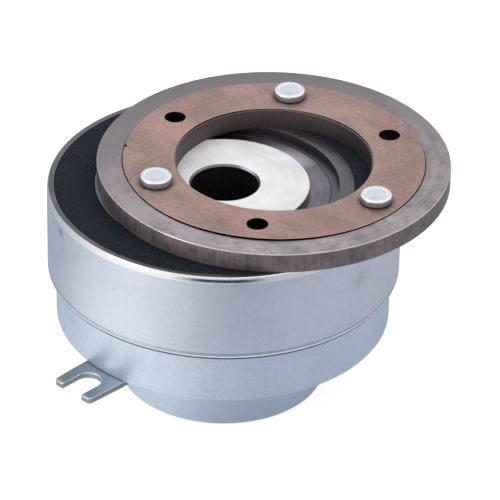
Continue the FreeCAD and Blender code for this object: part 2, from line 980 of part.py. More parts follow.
def spring_edge(radius):
    """One edge of the leaf spring: level at each rivet, highest half-way between two."""
    count = int(s.spring_wave_point_count.value * s.rivet_count.value)
    points = []
    for index in range(count):
        angle = 2 * math.pi * index / count
        rise = s.spring_bow.value * (1 - math.cos(s.rivet_count.value * angle)) / 2
        points.append(
            FreeCAD.Vector(
                radius.value * math.cos(angle),
                radius.value * math.sin(angle),
                spring_seat.value + rise,
            )
        )
    curve = Part.BSplineCurve()
    curve.interpolate(points, PeriodicFlag=True)
    return curve.toShape()


def upright_hole(radius, place, angle):
    """A tall cylinder to cut a hole through the leaf spring."""
    base = FreeCAD.Vector(place * math.cos(angle), place * math.sin(angle), face_height.value)
    return Part.makeCylinder(radius, 2 * s.disc_thickness.value, base)


def spring_plate():
    """Leaf spring of the armature, a thin ring that lies on the disc at the rivets."""
    skin = Part.makeRuledSurface(spring_edge(spring_inner_radius), spring_edge(spring_outer_radius))
    solid = skin.extrude(FreeCAD.Vector(0, 0, s.spring_thickness.value))
    circle = s.fastening_circle.value
    count = int(s.rivet_count.value)
    cutters = [
        upright_hole(s.notch_radius.value, spring_outer_radius.value, math.radians(s.notch_angle.value))
    ]
    rivet_hole = s.rivet_shank_radius.value + s.rivet_hole_clearance.value
    for index in range(count):
        angle = 2 * math.pi * index / count
        cutters.append(upright_hole(rivet_hole, circle, angle))
        cutters.append(upright_hole(s.mounting_hole_radius.value, circle, angle + math.pi / count))
    cut = solid.cut(cutters)
    plate = doc.addObject("Part::Feature", "spring_plate")
    plate.Label = "spring_plate"
    plate.Shape = cut.Solids[0]
    move_to_armature(plate)
    doc.recompute()
    return plate


def armature_rivets():
    """Rivets through spring and disc, with the set tail sunk below the friction face."""
    body = start_body("armature_rivets")
    body.AllowCompound = True
    sketch = attached_sketch(body, "rivet_section", "XZ_Plane")
    axis = s.fastening_circle
    axis_side = "Edge9"
    tail_top = face_height + s.rivet_tail_depth
    tail_bottom = tail_top - s.rivet_tail_thickness
    head_bottom = spring_top_at_rivet + s.rivet_seat_gap
    head_top = head_bottom + s.rivet_head_height
    draw_outline(
        sketch,
        [
            (axis, tail_bottom),
            (axis + s.rivet_tail_radius, tail_bottom),
            (axis + s.rivet_tail_radius, tail_top),
            (axis + s.rivet_shank_radius, tail_top),
            (axis + s.rivet_shank_radius, head_bottom),
            (axis + s.rivet_head_radius, head_bottom),
            (axis + s.rivet_head_radius, head_top - s.rivet_head_round),
            (axis + s.rivet_head_radius - s.rivet_head_round, head_top),
            (axis, head_top),
        ],
    )
    rivet = body.newObject("PartDesign::Revolution", "rivet")
    rivet.Profile = sketch
    rivet.ReferenceAxis = (sketch, [axis_side])
    rivet.Angle = FULL_TURN
    doc.recompute()
    repeat_round(body, [rivet], s.rivet_count)
    move_to_armature(body)
    doc.recompute()
    return body


NODES = [
    field_shell,
    bearing_housing,
    torque_arm,
    lead_grommet,
    coil_bobbin,
    coil_winding,
    coil_resin,
    bearing_outer_ring,
    bearing_shields,
    housing_circlip,
    rotor_drum,
    friction_lining,
    rotor_hub,
    bearing_inner_ring,
    hub_circlip,
    bearing_balls,
    bearing_cage,
    spring_plate,
    armature_disc,
    armature_rivets,
]


def main():
    pieces = [make() for make in NODES]
    doc.recompute()
    for item in doc.Objects:
        if "Invalid" in item.State or "Error" in item.State:
            raise ValueError("%s did not recompute: %s" % (item.Label, item.State))
    for piece in pieces:
        shape = piece.Shape
        if shape.isNull() or not shape.isValid():
            raise ValueError("%s has no valid shape" % piece.Label)
    os.makedirs("parts", exist_ok=True)
    for piece in pieces:
        piece.Shape.exportStep("parts/%s.step" % piece.Label)
        box = piece.Shape.BoundBox
        print(
            "%-20s solids %2d volume %9.1f z %6.2f to %6.2f"
            % (piece.Label, len(piece.Shape.Solids), piece.Shape.Volume, box.ZMin, box.ZMax)
        )


main()
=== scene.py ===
import math

import bmesh
import bpy
from bpy.props import FloatProperty, FloatVectorProperty, IntProperty, PointerProperty
from mathutils import Matrix, Vector


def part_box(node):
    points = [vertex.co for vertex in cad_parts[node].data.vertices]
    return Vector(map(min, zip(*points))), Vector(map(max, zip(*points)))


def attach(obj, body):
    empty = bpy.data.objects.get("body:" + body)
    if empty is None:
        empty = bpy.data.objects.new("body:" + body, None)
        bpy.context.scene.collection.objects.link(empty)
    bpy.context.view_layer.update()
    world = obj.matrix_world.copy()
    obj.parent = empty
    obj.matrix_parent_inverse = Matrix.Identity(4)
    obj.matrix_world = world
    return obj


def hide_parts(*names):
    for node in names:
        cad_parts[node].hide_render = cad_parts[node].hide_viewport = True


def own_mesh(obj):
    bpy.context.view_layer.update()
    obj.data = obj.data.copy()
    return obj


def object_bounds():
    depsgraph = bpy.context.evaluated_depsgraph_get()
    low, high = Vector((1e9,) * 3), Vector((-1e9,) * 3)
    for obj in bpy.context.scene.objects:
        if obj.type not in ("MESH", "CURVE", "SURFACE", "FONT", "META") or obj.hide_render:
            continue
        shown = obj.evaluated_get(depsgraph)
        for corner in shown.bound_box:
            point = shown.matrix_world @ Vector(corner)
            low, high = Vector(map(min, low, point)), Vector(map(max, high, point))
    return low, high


# An electromagnetic clutch brake, dressed round its packed model.
# Metres, +Z along the shaft, the origin in the rear face of the bearing boss.

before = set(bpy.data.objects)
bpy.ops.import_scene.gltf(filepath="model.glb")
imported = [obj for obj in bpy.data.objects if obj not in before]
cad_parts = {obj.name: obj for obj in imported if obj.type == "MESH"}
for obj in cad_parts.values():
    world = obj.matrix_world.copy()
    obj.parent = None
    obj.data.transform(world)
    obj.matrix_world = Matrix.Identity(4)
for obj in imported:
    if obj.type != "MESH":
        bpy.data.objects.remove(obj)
cad_box = [list(corner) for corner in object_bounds()]

bl_info = {
    "name": "Electromagnetic clutch brake",
    "version": (1, 0, 0),
    "blender": (4, 5, 0),
    "location": "3D View > Sidebar > Clutch",
    "description": "Builds the pieces and finishes of an electromagnetic clutch brake",
    "category": "Object",
}

MM = 0.001
# How close a point must lie to the place it is looked for
NEAR = 0.02 * MM
FULL_TURN = 2 * math.pi
# How far a cutter reaches past what it cuts
MARGIN = 1 * MM
# Upward part of its normal past which a face counts as level, and past which as flat
LEVEL = 0.9
FLAT = 0.97
WHITE = (1.0, 1.0, 1.0)


def node_centre(node):
    """Where the axis of a round CAD node meets the floor."""
    low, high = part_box(node)
    return (low.x + high.x) / 2, (low.y + high.y) / 2


def node_radii(node, centre=(0, 0)):
    """Smallest and largest distance of a CAD node from an upright axis."""
    points = [point.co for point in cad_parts[node].data.vertices]
    distances = [math.hypot(point.x - centre[0], point.y - centre[1]) for point in points]
    return min(distances), max(distances)


def length(name, default, description):
    return FloatProperty(name=name, description=description, default=default, min=0, unit="LENGTH")


def colour(name, default, description):
    return FloatVectorProperty(
        name=name, description=description, default=default, size=3, min=0, max=1, subtype="COLOR"
    )


drum_low, drum_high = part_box("rotor_drum")
lining_low, lining_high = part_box("friction_lining")
hub_low, hub_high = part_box("rotor_hub")
shell_low, shell_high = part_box("field_shell")
boss_low, boss_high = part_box("bearing_housing")
arm_low, arm_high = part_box("torque_arm")
race_low, race_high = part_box("bearing_outer_ring")
disc_low, disc_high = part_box("armature_disc")
spring_low, spring_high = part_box("spring_plate")
rivet_low, rivet_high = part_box("armature_rivets")
armature_centre = node_centre("armature_disc")
lining_inner, lining_outer = node_radii("friction_lining")
spring_inner, spring_outer = node_radii("spring_plate", armature_centre)
disc_inner, disc_outer = node_radii("armature_disc", armature_centre)


class ClutchRotorSizes(bpy.types.PropertyGroup):
    """Sizes of the rotor that the boxes of its nodes don't give."""

    crown_width: length("Crown width", 0.5 * MM, "How far the drum's worn top corner reaches inwards")
    crown_height: length("Crown height", 2.3 * MM, "How far the drum's worn top corner reaches down")
    lip_radius: length("Lip radius", 1.3 * MM, "Radius of the rolled lip at the drum's foot")
    lip_groove: length("Lip groove", 0.2 * MM, "Depth of the groove above the lip")
    skirt_reach: length("Skirt reach", 1.0 * MM, "How far the lip is drawn down below the plain skirt")
    pole_inner: length("Pole ring radius", 32.3 * MM, "Inner radius of the inner pole ring")
    recess_depth: length("Recess depth", 2.3 * MM, "Depth of the recess round the nose")
    pole_round: length("Pole round", 0.12 * MM, "Round on the edges of the friction poles")
    lining_round: length("Lining round", 0.15 * MM, "Round on the edges of the friction lining")
    web: length("Web", 5 * MM, "Thickness of the web under the lining")
    flange_radius: length("Flange radius", 30 * MM, "Radius of the hub's flange")
    seam: length("Seam", 0.12 * MM, "Chamfer where the drum meets the hub's flange")
    relief: length("Relief", 1.6 * MM, "Width of the dull ring round the foot of the nose")
    nose_radius: length("Nose radius", 23.9 * MM, "Radius of the bright nose")
    bore_radius: length("Bore radius", 9.5 * MM, "Radius of the shaft bore")
    bore_chamfer: length("Bore chamfer", 0.55 * MM, "Chamfer at the mouth of the bore")
    rear_chamfer: length("Rear chamfer", 0.4 * MM, "Chamfer at the rear end of the bore")
    nose_round: length("Nose round", 0.3 * MM, "Round on the edge of the nose")
    key_width: length("Keyway width", 6 * MM, "Width of the keyway")
    key_depth: length("Keyway depth", 2.8 * MM, "Depth of the keyway beyond the bore")
    key_angle: FloatProperty(
        name="Keyway angle",
        description="Direction of the keyway round the shaft",
        default=math.radians(-84),
        subtype="ANGLE",
    )
    # Direction of a painted sheen: a lighter streak on the recess floor
    painted_sheen_angle: FloatProperty(
        name="Sheen angle",
        description="Direction of the brushed sheen on the recess floor",
        default=math.radians(91),
        subtype="ANGLE",
    )
    tube_radius: length("Tube radius", 25.2 * MM, "Radius of the tube that turns inside the coil")
    tube_bottom: length("Tube bottom", 22.5 * MM, "Height of the tube's rear end")
    shoulder_radius: length("Shoulder radius", 17 * MM, "Radius of the shoulder on the bearing")
    seat_radius: length("Seat radius", 14 * MM, "Radius of the bearing seat")
    ring_groove: length("Ring groove", 1.55 * MM, "Width of the retaining ring's groove")
    groove_depth: length("Groove depth", 0.7 * MM, "Depth of the retaining ring's groove")


class ClutchFieldSizes(bpy.types.PropertyGroup):
    """Sizes of the field that the boxes of its nodes don't give."""

    shell_wall: length("Shell wall", 4 * MM, "Wall of the outer pole")
    back_plate: length("Back plate", 6 * MM, "Thickness of the back plate")
    edge_round: length("Edge round", 0.6 * MM, "Round on the shell's corners")
    boss_radius: length("Boss radius", 29.5 * MM, "Radius of the bearing boss")
    boss_chamfer: length("Boss chamfer", 0.8 * MM, "Chamfer at the foot of the boss")
    seat_round: length("Seat round", 0.3 * MM, "Round at the mouth of the bearing seat")
    core_inner: length("Core inner radius", 25.6 * MM, "Inner radius of the inner pole")
    core_outer: length("Core outer radius", 31 * MM, "Outer radius of the inner pole")
    bearing_land: length("Bearing land", 23.5 * MM, "Inner radius of the land in front of the bearing")
    ring_groove: length("Ring groove", 2.05 * MM, "Width of the retaining ring's groove")
    groove_depth: length("Groove depth", 1.5 * MM, "Depth of the retaining ring's groove")
    lead_radius: length("Lead hole", 4 * MM, "Radius of the hole for the coil's leads")
    slot_width: length("Fork slot", 7.4 * MM, "Width of the slot in the forked arm")
    slot_depth: length("Fork slot depth", 10 * MM, "Depth of the slot in the forked arm")
    arm_taper: length("Arm taper", 0.4 * MM, "How much each side of the arm widens to its root")
    arm_corner: length("Arm corner", 1.2 * MM, "Round on the arm's outline")
    arm_edge: length("Arm edge", 0.35 * MM, "Round on the arm's edges")


class ClutchArmatureSizes(bpy.types.PropertyGroup):
    """Sizes of the armature that the boxes of its nodes don't give."""

    turn: FloatProperty(
        name="Armature turn",
        description="Direction of the first rivet round the armature's axis",
        default=math.radians(6.7),
        subtype="ANGLE",
    )
    rivets: IntProperty(name="Rivets", description="Number of rivets", default=3, min=2)
    circle: length("Fastening circle", 35.5 * MM, "Radius of the circle of rivets and holes")
    disc_chamfer: length("Disc chamfer", 0.3 * MM, "Chamfer on the disc's corners")
    # Painted shadow: a near-black line on the disc's face along the spring's rim
    spring_shadow: length("Spring shadow", 0.3 * MM, "Width of the dark line on the disc along the spring's rim")
    clearance_radius: length("Screw clearance", 4.5 * MM, "Radius of the holes in the disc")
    hole_radius: length("Mounting hole", 3.05 * MM, "Radius of the mounting holes in the spring")
    thickness: length("Spring thickness", 0.3 * MM, "Thickness of the leaf spring")
    bow: length("Spring bow", 0.3 * MM, "How far the spring bows up between the rivets")
    notch_radius: length("Notch", 0.8 * MM, "Radius of the notch in the spring's rim")
    notch_angle: FloatProperty(
        name="Notch angle",
        description="Direction of the notch from the first rivet",
        default=math.radians(210),
        subtype="ANGLE",
    )
    head_radius: length("Rivet head", 4.5 * MM, "Radius of a rivet's head")
    head_height: length("Rivet head height", 2.4 * MM, "Height of a rivet's head")
    head_round: length("Rivet shoulder", 0.7 * MM, "Round on a rivet's head")
    head_foot: length("Rivet foot", 0.3 * MM, "Round where a rivet's head meets the spring")
    shank_radius: length("Rivet shank", 2.5 * MM, "Radius of a rivet's shank")
    shank_gap: length("Shank gap", 0.15 * MM, "Gap round a rivet's shank and tail")
    sink_depth: length("Sink depth", 2 * MM, "Depth of the pocket for a rivet's tail")
    tail_round: length("Tail round", 0.3 * MM, "Round on a rivet's set tail")
    dish: length("Dish", 0.12 * MM, "Depth of the shallow dish in a rivet's head")
    edge: length("Spring edge", 0.1 * MM, "Chamfer on the spring's edges")
    tail_radius: length("Rivet tail", 4 * MM, "Radius of a rivet's set tail")
    tail_height: length("Rivet tail height", 1.2 * MM, "Height of a rivet's set tail")


class ClutchColours(bpy.types.PropertyGroup):
    """Colours of the finishes."""

    zinc_light: colour("Zinc, light", (0.77, 0.81, 0.885), "Light tone of the zinc plating")
    zinc_dark: colour("Zinc, dark", (0.64, 0.69, 0.79), "Dark tone of the zinc plating")
    shell_light: colour("Shell, light", (0.78, 0.865, 0.96), "Light tone of the field's plating")
    shell_dark: colour("Shell, dark", (0.63, 0.72, 0.85), "Dark tone of the field's plating")
    arm_light: colour("Arm, light", (0.36, 0.41, 0.44), "Light tone of the forked arm")
    arm_dark: colour("Arm, dark", (0.26, 0.305, 0.34), "Dark tone of the forked arm")
    # Painted highlight: near-white zinc on the drum's top corner and on the rivets' shoulders
    painted_highlight_tone: colour("Highlight zinc", (0.95, 0.96, 0.97), "Polished corners of the plating")
    # Painted shade: darker zinc in the groove above the drum's lip
    groove_shade_tone: colour("Groove shade zinc", (0.46, 0.51, 0.62), "Zinc in the groove above the drum's lip")
    # Painted highlight: a near-white line along the drum's rolled lip
    bright_lip: colour("Bright lip", (0.98, 0.99, 1.0), "Highlight of the drum's rolled lip")
    # Painted shade: near-black zinc on the underside of the drum's lip
    shadowed: colour("Shadowed zinc", (0.10, 0.15, 0.19), "Dull zinc under the drum's lip")
    nose_steel: colour("Nose steel", (0.88, 0.872, 0.885), "Bright turned steel of the nose")
    ground_steel: colour("Ground steel", (0.17, 0.16, 0.19), "Ground faces of the rotor's poles")
    dull_steel: colour("Dull steel", (0.07, 0.06, 0.07), "Walls of the recess and the bore")
    disc_face: colour("Disc face", (0.42, 0.372, 0.398), "Flat faces of the armature disc")
    disc_side: colour("Disc side", (0.235, 0.19, 0.194), "Turned side of the armature disc")
    disc_edge: colour("Disc edge", (0.62, 0.59, 0.61), "Worn edges of the armature disc")
    disc_bore: colour("Disc bore", (0.145, 0.112, 0.112), "Inner wall and holes of the disc")
    spring: colour("Spring", (0.415, 0.275, 0.247), "Bronzed leaf spring")
    lining: colour("Lining", (0.011, 0.014, 0.022), "Friction lining")
    rivet: colour("Rivets", (0.70, 0.74, 0.80), "Bright zinc on the rivets")
    # Painted shade: darker zinc on the sides of the rivet heads
    rivet_side: colour("Rivet side", (0.50, 0.58, 0.64), "Sides of the rivet heads")
    bearing: colour("Bearing steel", (0.55, 0.55, 0.56), "Ground rings of the bearing")
    blued_steel: colour("Blued steel", (0.05, 0.055, 0.065), "Retaining rings")
    copper: colour("Copper", (0.60, 0.23, 0.11), "Coil winding")
    resin: colour("Resin", (0.05, 0.045, 0.04), "Potting over the coil")
    nylon: colour("Nylon", (0.46, 0.38, 0.25), "Bearing cage and spool")
    rubber: colour("Rubber", (0.03, 0.03, 0.032), "Lead outlet")


class ClutchStage(bpy.types.PropertyGroup):
    """Camera, floor and lights."""

    camera_place: FloatVectorProperty(
        name="Camera place",
        description="Where the camera stands",
        default=(0.63783, -0.65663, 0.62095),
        size=3,
        subtype="TRANSLATION",
        unit="LENGTH",
    )
    camera_azimuth: FloatProperty(
        name="Camera azimuth",
        description="Turn of the view from +Y, anticlockwise seen from above",
        default=math.radians(43.7),
        subtype="ANGLE",
    )
    camera_elevation: FloatProperty(
        name="Camera elevation",
        description="How far the view looks down",
        default=math.radians(32.4),
        subtype="ANGLE",
    )
    camera_roll: FloatProperty(
        name="Camera roll",
        description="Turn of the camera about its own axis",
        default=math.radians(1.22),
        subtype="ANGLE",
    )
    lens: FloatProperty(
        name="Lens", description="Focal length in millimetres", default=274.7, unit="CAMERA"
    )
    floor_size: length("Floor size", 6.0, "Side of the square floor")


# Mesh tools

def deselect_all():
    bpy.ops.object.select_all(action="DESELECT")


def select_only(piece):
    deselect_all()
    piece.select_set(True)
    bpy.context.view_layer.objects.active = piece


def edit(piece):
    bpy.context.view_layer.objects.active = piece
    bpy.ops.object.mode_set(mode="EDIT")


def leave_edit():
    bpy.ops.object.mode_set(mode="OBJECT")


def select_edges(piece, wanted):
    """In edit mode, selects just the edges that are wanted, judged by their two ends."""
    bpy.ops.mesh.select_mode(type="EDGE")
    bpy.ops.mesh.select_all(action="DESELECT")
    mesh = bmesh.from_edit_mesh(piece.data)
    found = [edge for edge in mesh.edges if wanted(*(point.co for point in edge.verts))]
    for edge in found:
        edge.select_set(True)
    bmesh.update_edit_mesh(piece.data)
    if not found:
        raise RuntimeError(f"{piece.name}: no edge was found where one was looked for")


def settle(piece):
    """Puts an object's place, turn and scale into its mesh."""
    select_only(piece)
    bpy.ops.object.transform_apply(location=True, rotation=True, scale=True)


def close_and_orient(piece):
    """Merges doubles, closes open ends and turns the faces outwards."""
    edit(piece)
    bpy.ops.mesh.select_mode(type="VERT")
    bpy.ops.mesh.select_all(action="SELECT")
    bpy.ops.mesh.remove_doubles(threshold=0.001 * MM)
    bpy.ops.mesh.select_all(action="DESELECT")
    bpy.ops.mesh.select_non_manifold(extend=False)
    bpy.ops.mesh.fill_holes(sides=0)
    bpy.ops.mesh.select_all(action="SELECT")
    bpy.ops.mesh.normals_make_consistent(inside=False)
    leave_edit()


def turned_piece(name, outline, centre=(0, 0), closed=True, segments=288):
    """A turned piece: a circle extruded and scaled along an outline of (radius, height) points."""
    radius, height = outline[0]
    deselect_all()
    bpy.ops.mesh.primitive_circle_add(
        vertices=segments, radius=radius, location=(centre[0], centre[1], height)
    )
    piece = bpy.context.object
    piece.name = name
    piece.data.name = name
    settle(piece)
    edit(piece)
    bpy.ops.mesh.select_all(action="SELECT")
    steps = outline[1:] + outline[:1] if closed else outline[1:]
    for next_radius, next_height in steps:
        bpy.ops.mesh.extrude_region_move(TRANSFORM_OT_translate={"value": (0, 0, next_height - height)})
        share = next_radius / radius
        bpy.ops.transform.resize(
            value=(share, share, 1), center_override=(centre[0], centre[1], next_height)
        )
        radius, height = next_radius, next_height
    leave_edit()
    close_and_orient(piece)
    return piece


def round_edges(piece, size, wanted, segments):
    edit(piece)
    select_edges(piece, wanted)
    bpy.ops.mesh.bevel(offset=size, segments=segments, profile=0.5, affect="EDGES")
    leave_edit()


def round_rings(piece, size, rings, centre=(0, 0), segments=4):
    """Rounds the ring edges at the given (radius, height) places."""

    def on_ring(point):
        radius = math.hypot(point.x - centre[0], point.y - centre[1])
        return any(abs(radius - r) < NEAR and abs(point.z - z) < NEAR for r, z in rings)

    round_edges(piece, size, lambda first, second: on_ring(first) and on_ring(second), segments)


def cylinder(name, radius, place, bottom, top, segments=64):
    deselect_all()
    bpy.ops.mesh.primitive_cylinder_add(
        vertices=segments,
        radius=radius,
        depth=top - bottom,
        location=(place[0], place[1], (top + bottom) / 2),
    )
    piece = bpy.context.object
    piece.name = name
    settle(piece)
    return piece


def block(name, size, place, turn=0.0):
    deselect_all()
    bpy.ops.mesh.primitive_cube_add(size=1, location=place, rotation=(0, 0, turn))
    piece = bpy.context.object
    piece.name = name
    piece.scale = size
    settle(piece)
    return piece


def apply_modifier(piece, modifier):
    select_only(piece)
    bpy.ops.object.modifier_apply(modifier=modifier.name)


def cut(piece, *cutters):
    """Takes each cutter's shape out of the piece."""
    for cutter in cutters:
        before = len(piece.data.vertices), len(piece.data.polygons)
        modifier = piece.modifiers.new("cut", "BOOLEAN")
        modifier.operation = "DIFFERENCE"
        modifier.solver = "EXACT"
        modifier.object = cutter
        apply_modifier(piece, modifier)
        bpy.data.objects.remove(cutter)
        if (len(piece.data.vertices), len(piece.data.polygons)) == before:
            raise RuntimeError(f"{piece.name}: a cut took nothing away")


def round_sharp_edges(piece, size):
    modifier = piece.modifiers.new("bevel", "BEVEL")
    modifier.width = size
    modifier.segments = 3
    modifier.limit_method = "ANGLE"
    modifier.angle_limit = math.radians(50)
    apply_modifier(piece, modifier)


def smooth(piece):
    select_only(piece)
    bpy.ops.object.shade_smooth_by_angle(angle=math.radians(32))


def finish_piece(piece, body, materials, pick=None, nodes=()):
    """Gives a piece its materials and each face its pick, smooths it, puts it under its body and hides
    its CAD nodes.
    """
    for material in materials:
        piece.data.materials.append(material)
    if pick is not None:
        for face in piece.data.polygons:
            face.material_index = pick(face.center, face.normal)
    smooth(piece)
    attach(piece, body)
    if nodes:
        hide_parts(*nodes)


def dress_node(node, material):
    """Gives a CAD node another material."""
    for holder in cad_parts[node].material_slots:
        holder.material = material


# Material tools

# The middle range of a noise
MIDDLE = (0.3, 0.7)
# How far turning marks drift from true circles
RING_DRIFT = 0.15 * MM
# Which way painted shade darkens one side of a face, and how far from its axis
PAINTED_SHADE_WAY = (-0.90, 0.44, 0)
PAINTED_SHADE_REACH = 40 * MM
# Cosines between which a painted sheen comes up, and how much brighter it is
PAINTED_SHEEN_ROUND = (0.94, 0.995)
PAINTED_SHEEN_GAIN = 2.8


class Nodes:
    """A node tree, with short calls that add to it."""

    def __init__(self, tree):
        self.tree = tree

    def add(self, kind, inputs=None, **settings):
        """Adds a node. An input is a number or another node's output."""
        item = self.tree.nodes.new(kind)
        for name, value in settings.items():
            setattr(item, name, value)
        for name, value in (inputs or {}).items():
            if isinstance(value, bpy.types.NodeSocket):
                self.tree.links.new(value, item.inputs[name])
            else:
                item.inputs[name].default_value = value
        return item

    def math(self, operation, first, second=0.0):
        return self.add("ShaderNodeMath", {0: first, 1: second}, operation=operation).outputs[0]

    def vector(self, operation, first, second=(0, 0, 0), output="Vector"):
        item = self.add("ShaderNodeVectorMath", {0: first, 1: second}, operation=operation)
        return item.outputs[output]

    def facing(self, place, angle):
        """Cosine between the direction to a place and an angle round the axis."""
        heading = self.vector("NORMALIZE", self.vector("MULTIPLY", place, (1, 1, 0)))
        towards = (math.cos(angle), math.sin(angle), 0)
        return self.vector("DOT_PRODUCT", heading, towards, "Value")

    def spread(self, value, low, high, start=0.0, end=1.0):
        """Maps a value from one range to another and holds it there."""
        return self.add(
            "ShaderNodeMapRange",
            {"Value": value, "From Min": low, "From Max": high, "To Min": start, "To Max": end},
        ).outputs[0]

    def between(self, share, first, second):
        """A colour between two others."""
        first = first if isinstance(first, bpy.types.NodeSocket) else (*first, 1)
        second = second if isinstance(second, bpy.types.NodeSocket) else (*second, 1)
        item = self.add("ShaderNodeMix", {0: share, 6: first, 7: second}, data_type="RGBA")
        return item.outputs[2]

    def shaded(self, value, low, high, dark, light):
        """A colour that goes from dark to light as a value goes from low to high."""
        return self.between(self.spread(value, low, high), dark, light)

    def shader(self, kind, inputs):
        return self.add(kind, inputs).outputs[0]


class Paint(Nodes):
    """A node-based material that reads Object coordinates."""

    def __init__(self, name, metallic, centre=(0, 0)):
        self.material = bpy.data.materials.new(name)
        self.material.use_nodes = True
        super().__init__(self.material.node_tree)
        self.surface = self.tree.nodes["Principled BSDF"]
        self.surface.inputs["Metallic"].default_value = metallic
        place = self.add("ShaderNodeTexCoord").outputs["Object"]
        shift = (-centre[0], -centre[1], 0)
        self.place = self.add("ShaderNodeMapping", {"Vector": place, "Location": shift}).outputs[0]

    def stretched(self, scale):
        """The place with each axis scaled."""
        return self.add("ShaderNodeMapping", {"Vector": self.place, "Scale": scale}).outputs[0]

    def rings(self):
        """Distance from the axis, with a slow change round it, for turning marks."""
        flat = self.stretched((1, 1, 0))
        radius = self.vector("LENGTH", flat, output="Value")
        turn = self.vector("NORMALIZE", flat)
        slow = self.add("ShaderNodeVectorMath", {0: turn, "Scale": RING_DRIFT}, operation="SCALE")
        upright = self.add("ShaderNodeCombineXYZ", {"Z": radius}).outputs[0]
        return self.vector("ADD", upright, slow.outputs["Vector"])

    def away(self, place):
        """Distance from a place."""
        return self.vector("DISTANCE", self.place, place, "Value")

    def blend(self, *parts):
        """Sum of values, each with its weight."""
        shares = [self.math("MULTIPLY", value, weight) for value, weight in parts]
        total = shares[0]
        for share in shares[1:]:
            total = self.math("ADD", total, share)
        return total

    def noise(self, place, scale, detail=4.0, rough=0.55):
        return self.add(
            "ShaderNodeTexNoise",
            {"Vector": place, "Scale": scale, "Detail": detail, "Roughness": rough},
        ).outputs["Fac"]

    def flecked(self, shade, dark, amount):
        """A colour with dark flecks of wear in it."""
        patch = self.noise(self.place, 260, detail=7, rough=0.74)
        return self.between(self.spread(patch, 0.50, 0.66, 0.0, amount), shade, dark)

    def set(self, **sockets):
        """Links or sets sockets of the shader, with _ for a space."""
        for name, value in sockets.items():
            socket = self.surface.inputs[name.replace("_", " ")]
            if isinstance(value, bpy.types.NodeSocket):
                self.tree.links.new(value, socket)
            else:
                socket.default_value = value

    def bump(self, height, depth, below=None):
        """A bump of a depth in metres, over another one where given."""
        inputs = {"Height": height, "Strength": 1.0, "Distance": depth}
        if below is not None:
            inputs["Normal"] = below
        return self.add("ShaderNodeBump", inputs).outputs[0]


def tone(base, factor):
    return tuple(min(channel * factor, 1) for channel in base)


def zinc_plate(name, light, dark, roughness=(0.26, 0.40), spots=()):
    """Satin zinc: clouds of tone, upright brushing and faint turning marks, with smudges where given."""
    paint = Paint(name, 1.0)
    cloud = paint.noise(paint.place, 38, 3)
    streak = paint.noise(paint.stretched((1, 1, 0.04)), 1400, 2)
    turning = paint.noise(paint.stretched((0.02, 0.02, 1)), 2600, 2)
    speckle = paint.noise(paint.place, 800, 3, 0.6)
    mixed = paint.blend((cloud, 0.42), (streak, 0.14), (turning, 0.16), (speckle, 0.28))
    shade = paint.shaded(mixed, 0.37, 0.63, dark, light)
    for place, radius, depth in spots:
        near = paint.spread(paint.away(place), 0.0, radius, depth, 0.0)
        ragged = paint.math("MULTIPLY", near, paint.spread(paint.noise(paint.place, 700, 3), 0.3, 0.6))
        shade = paint.between(ragged, shade, tone(dark, 0.35))
    rough = paint.spread(paint.math("ADD", cloud, streak), 0.7, 1.3, *roughness)
    fine = paint.bump(speckle, 0.002 * MM, paint.bump(turning, 0.0008 * MM))
    paint.set(Base_Color=shade, Roughness=rough, Normal=paint.bump(streak, 0.0008 * MM, fine))
    return paint.material


def turned_steel(
    name,
    base,
    roughness,
    contrast,
    centre=(0, 0),
    cloud_scale=70,
    ring_depth=0.003 * MM,
    metallic=1.0,
    one_side_shade=1.0,
    flecks=0.0,
    painted_sheen_angle=None,
):
    """Steel face with turning marks about its axis and a cloudy tone.

    It may have painted shade on one side, dark flecks, and a painted sheen towards one angle.
    """
    paint = Paint(name, metallic, centre)
    marks = paint.noise(paint.rings(), 2200, 3)
    cloud = paint.noise(paint.place, cloud_scale, 5, 0.6)
    mixed = paint.blend((cloud, 0.7), (marks, 0.3))
    shade = paint.shaded(mixed, 0.41, 0.59, tone(base, 1 - contrast), tone(base, 1 + contrast))
    if flecks > 0:
        shade = paint.flecked(shade, tone(base, 0.4), flecks)
    # Painted sheen: lighter towards one angle round the axis
    if painted_sheen_angle is not None:
        facing = paint.facing(paint.place, painted_sheen_angle)
        shade = paint.shaded(facing, *PAINTED_SHEEN_ROUND, shade, tone(base, PAINTED_SHEEN_GAIN))
    # Painted shade: the face darkens towards one side
    if one_side_shade < 1:
        across = paint.vector("DOT_PRODUCT", paint.place, PAINTED_SHADE_WAY, "Value")
        shade = paint.shaded(across, -PAINTED_SHADE_REACH, PAINTED_SHADE_REACH, shade, tone(base, one_side_shade))
    paint.set(
        Base_Color=shade,
        Roughness=paint.spread(cloud, *MIDDLE, *roughness),
        Normal=paint.bump(marks, ring_depth),
    )
    return paint.material


def disc_side_steel(colours):
    """Brown-grey turned side with fine upright streaks."""
    paint = Paint("disc_side_steel", 0.7, armature_centre)
    streak = paint.noise(paint.stretched((1, 1, 0.06)), 1300, 4, 0.7)
    cloud = paint.noise(paint.place, 90, 4)
    mixed = paint.blend((streak, 0.55), (cloud, 0.45))
    base = colours.disc_side
    shade = paint.shaded(mixed, 0.34, 0.66, tone(base, 0.62), tone(base, 1.35))
    shade = paint.flecked(shade, tone(base, 0.3), 0.6)
    paint.set(
        Base_Color=shade,
        Roughness=paint.spread(cloud, *MIDDLE, 0.42, 0.55),
        Normal=paint.bump(streak, 0.004 * MM),
    )
    return paint.material


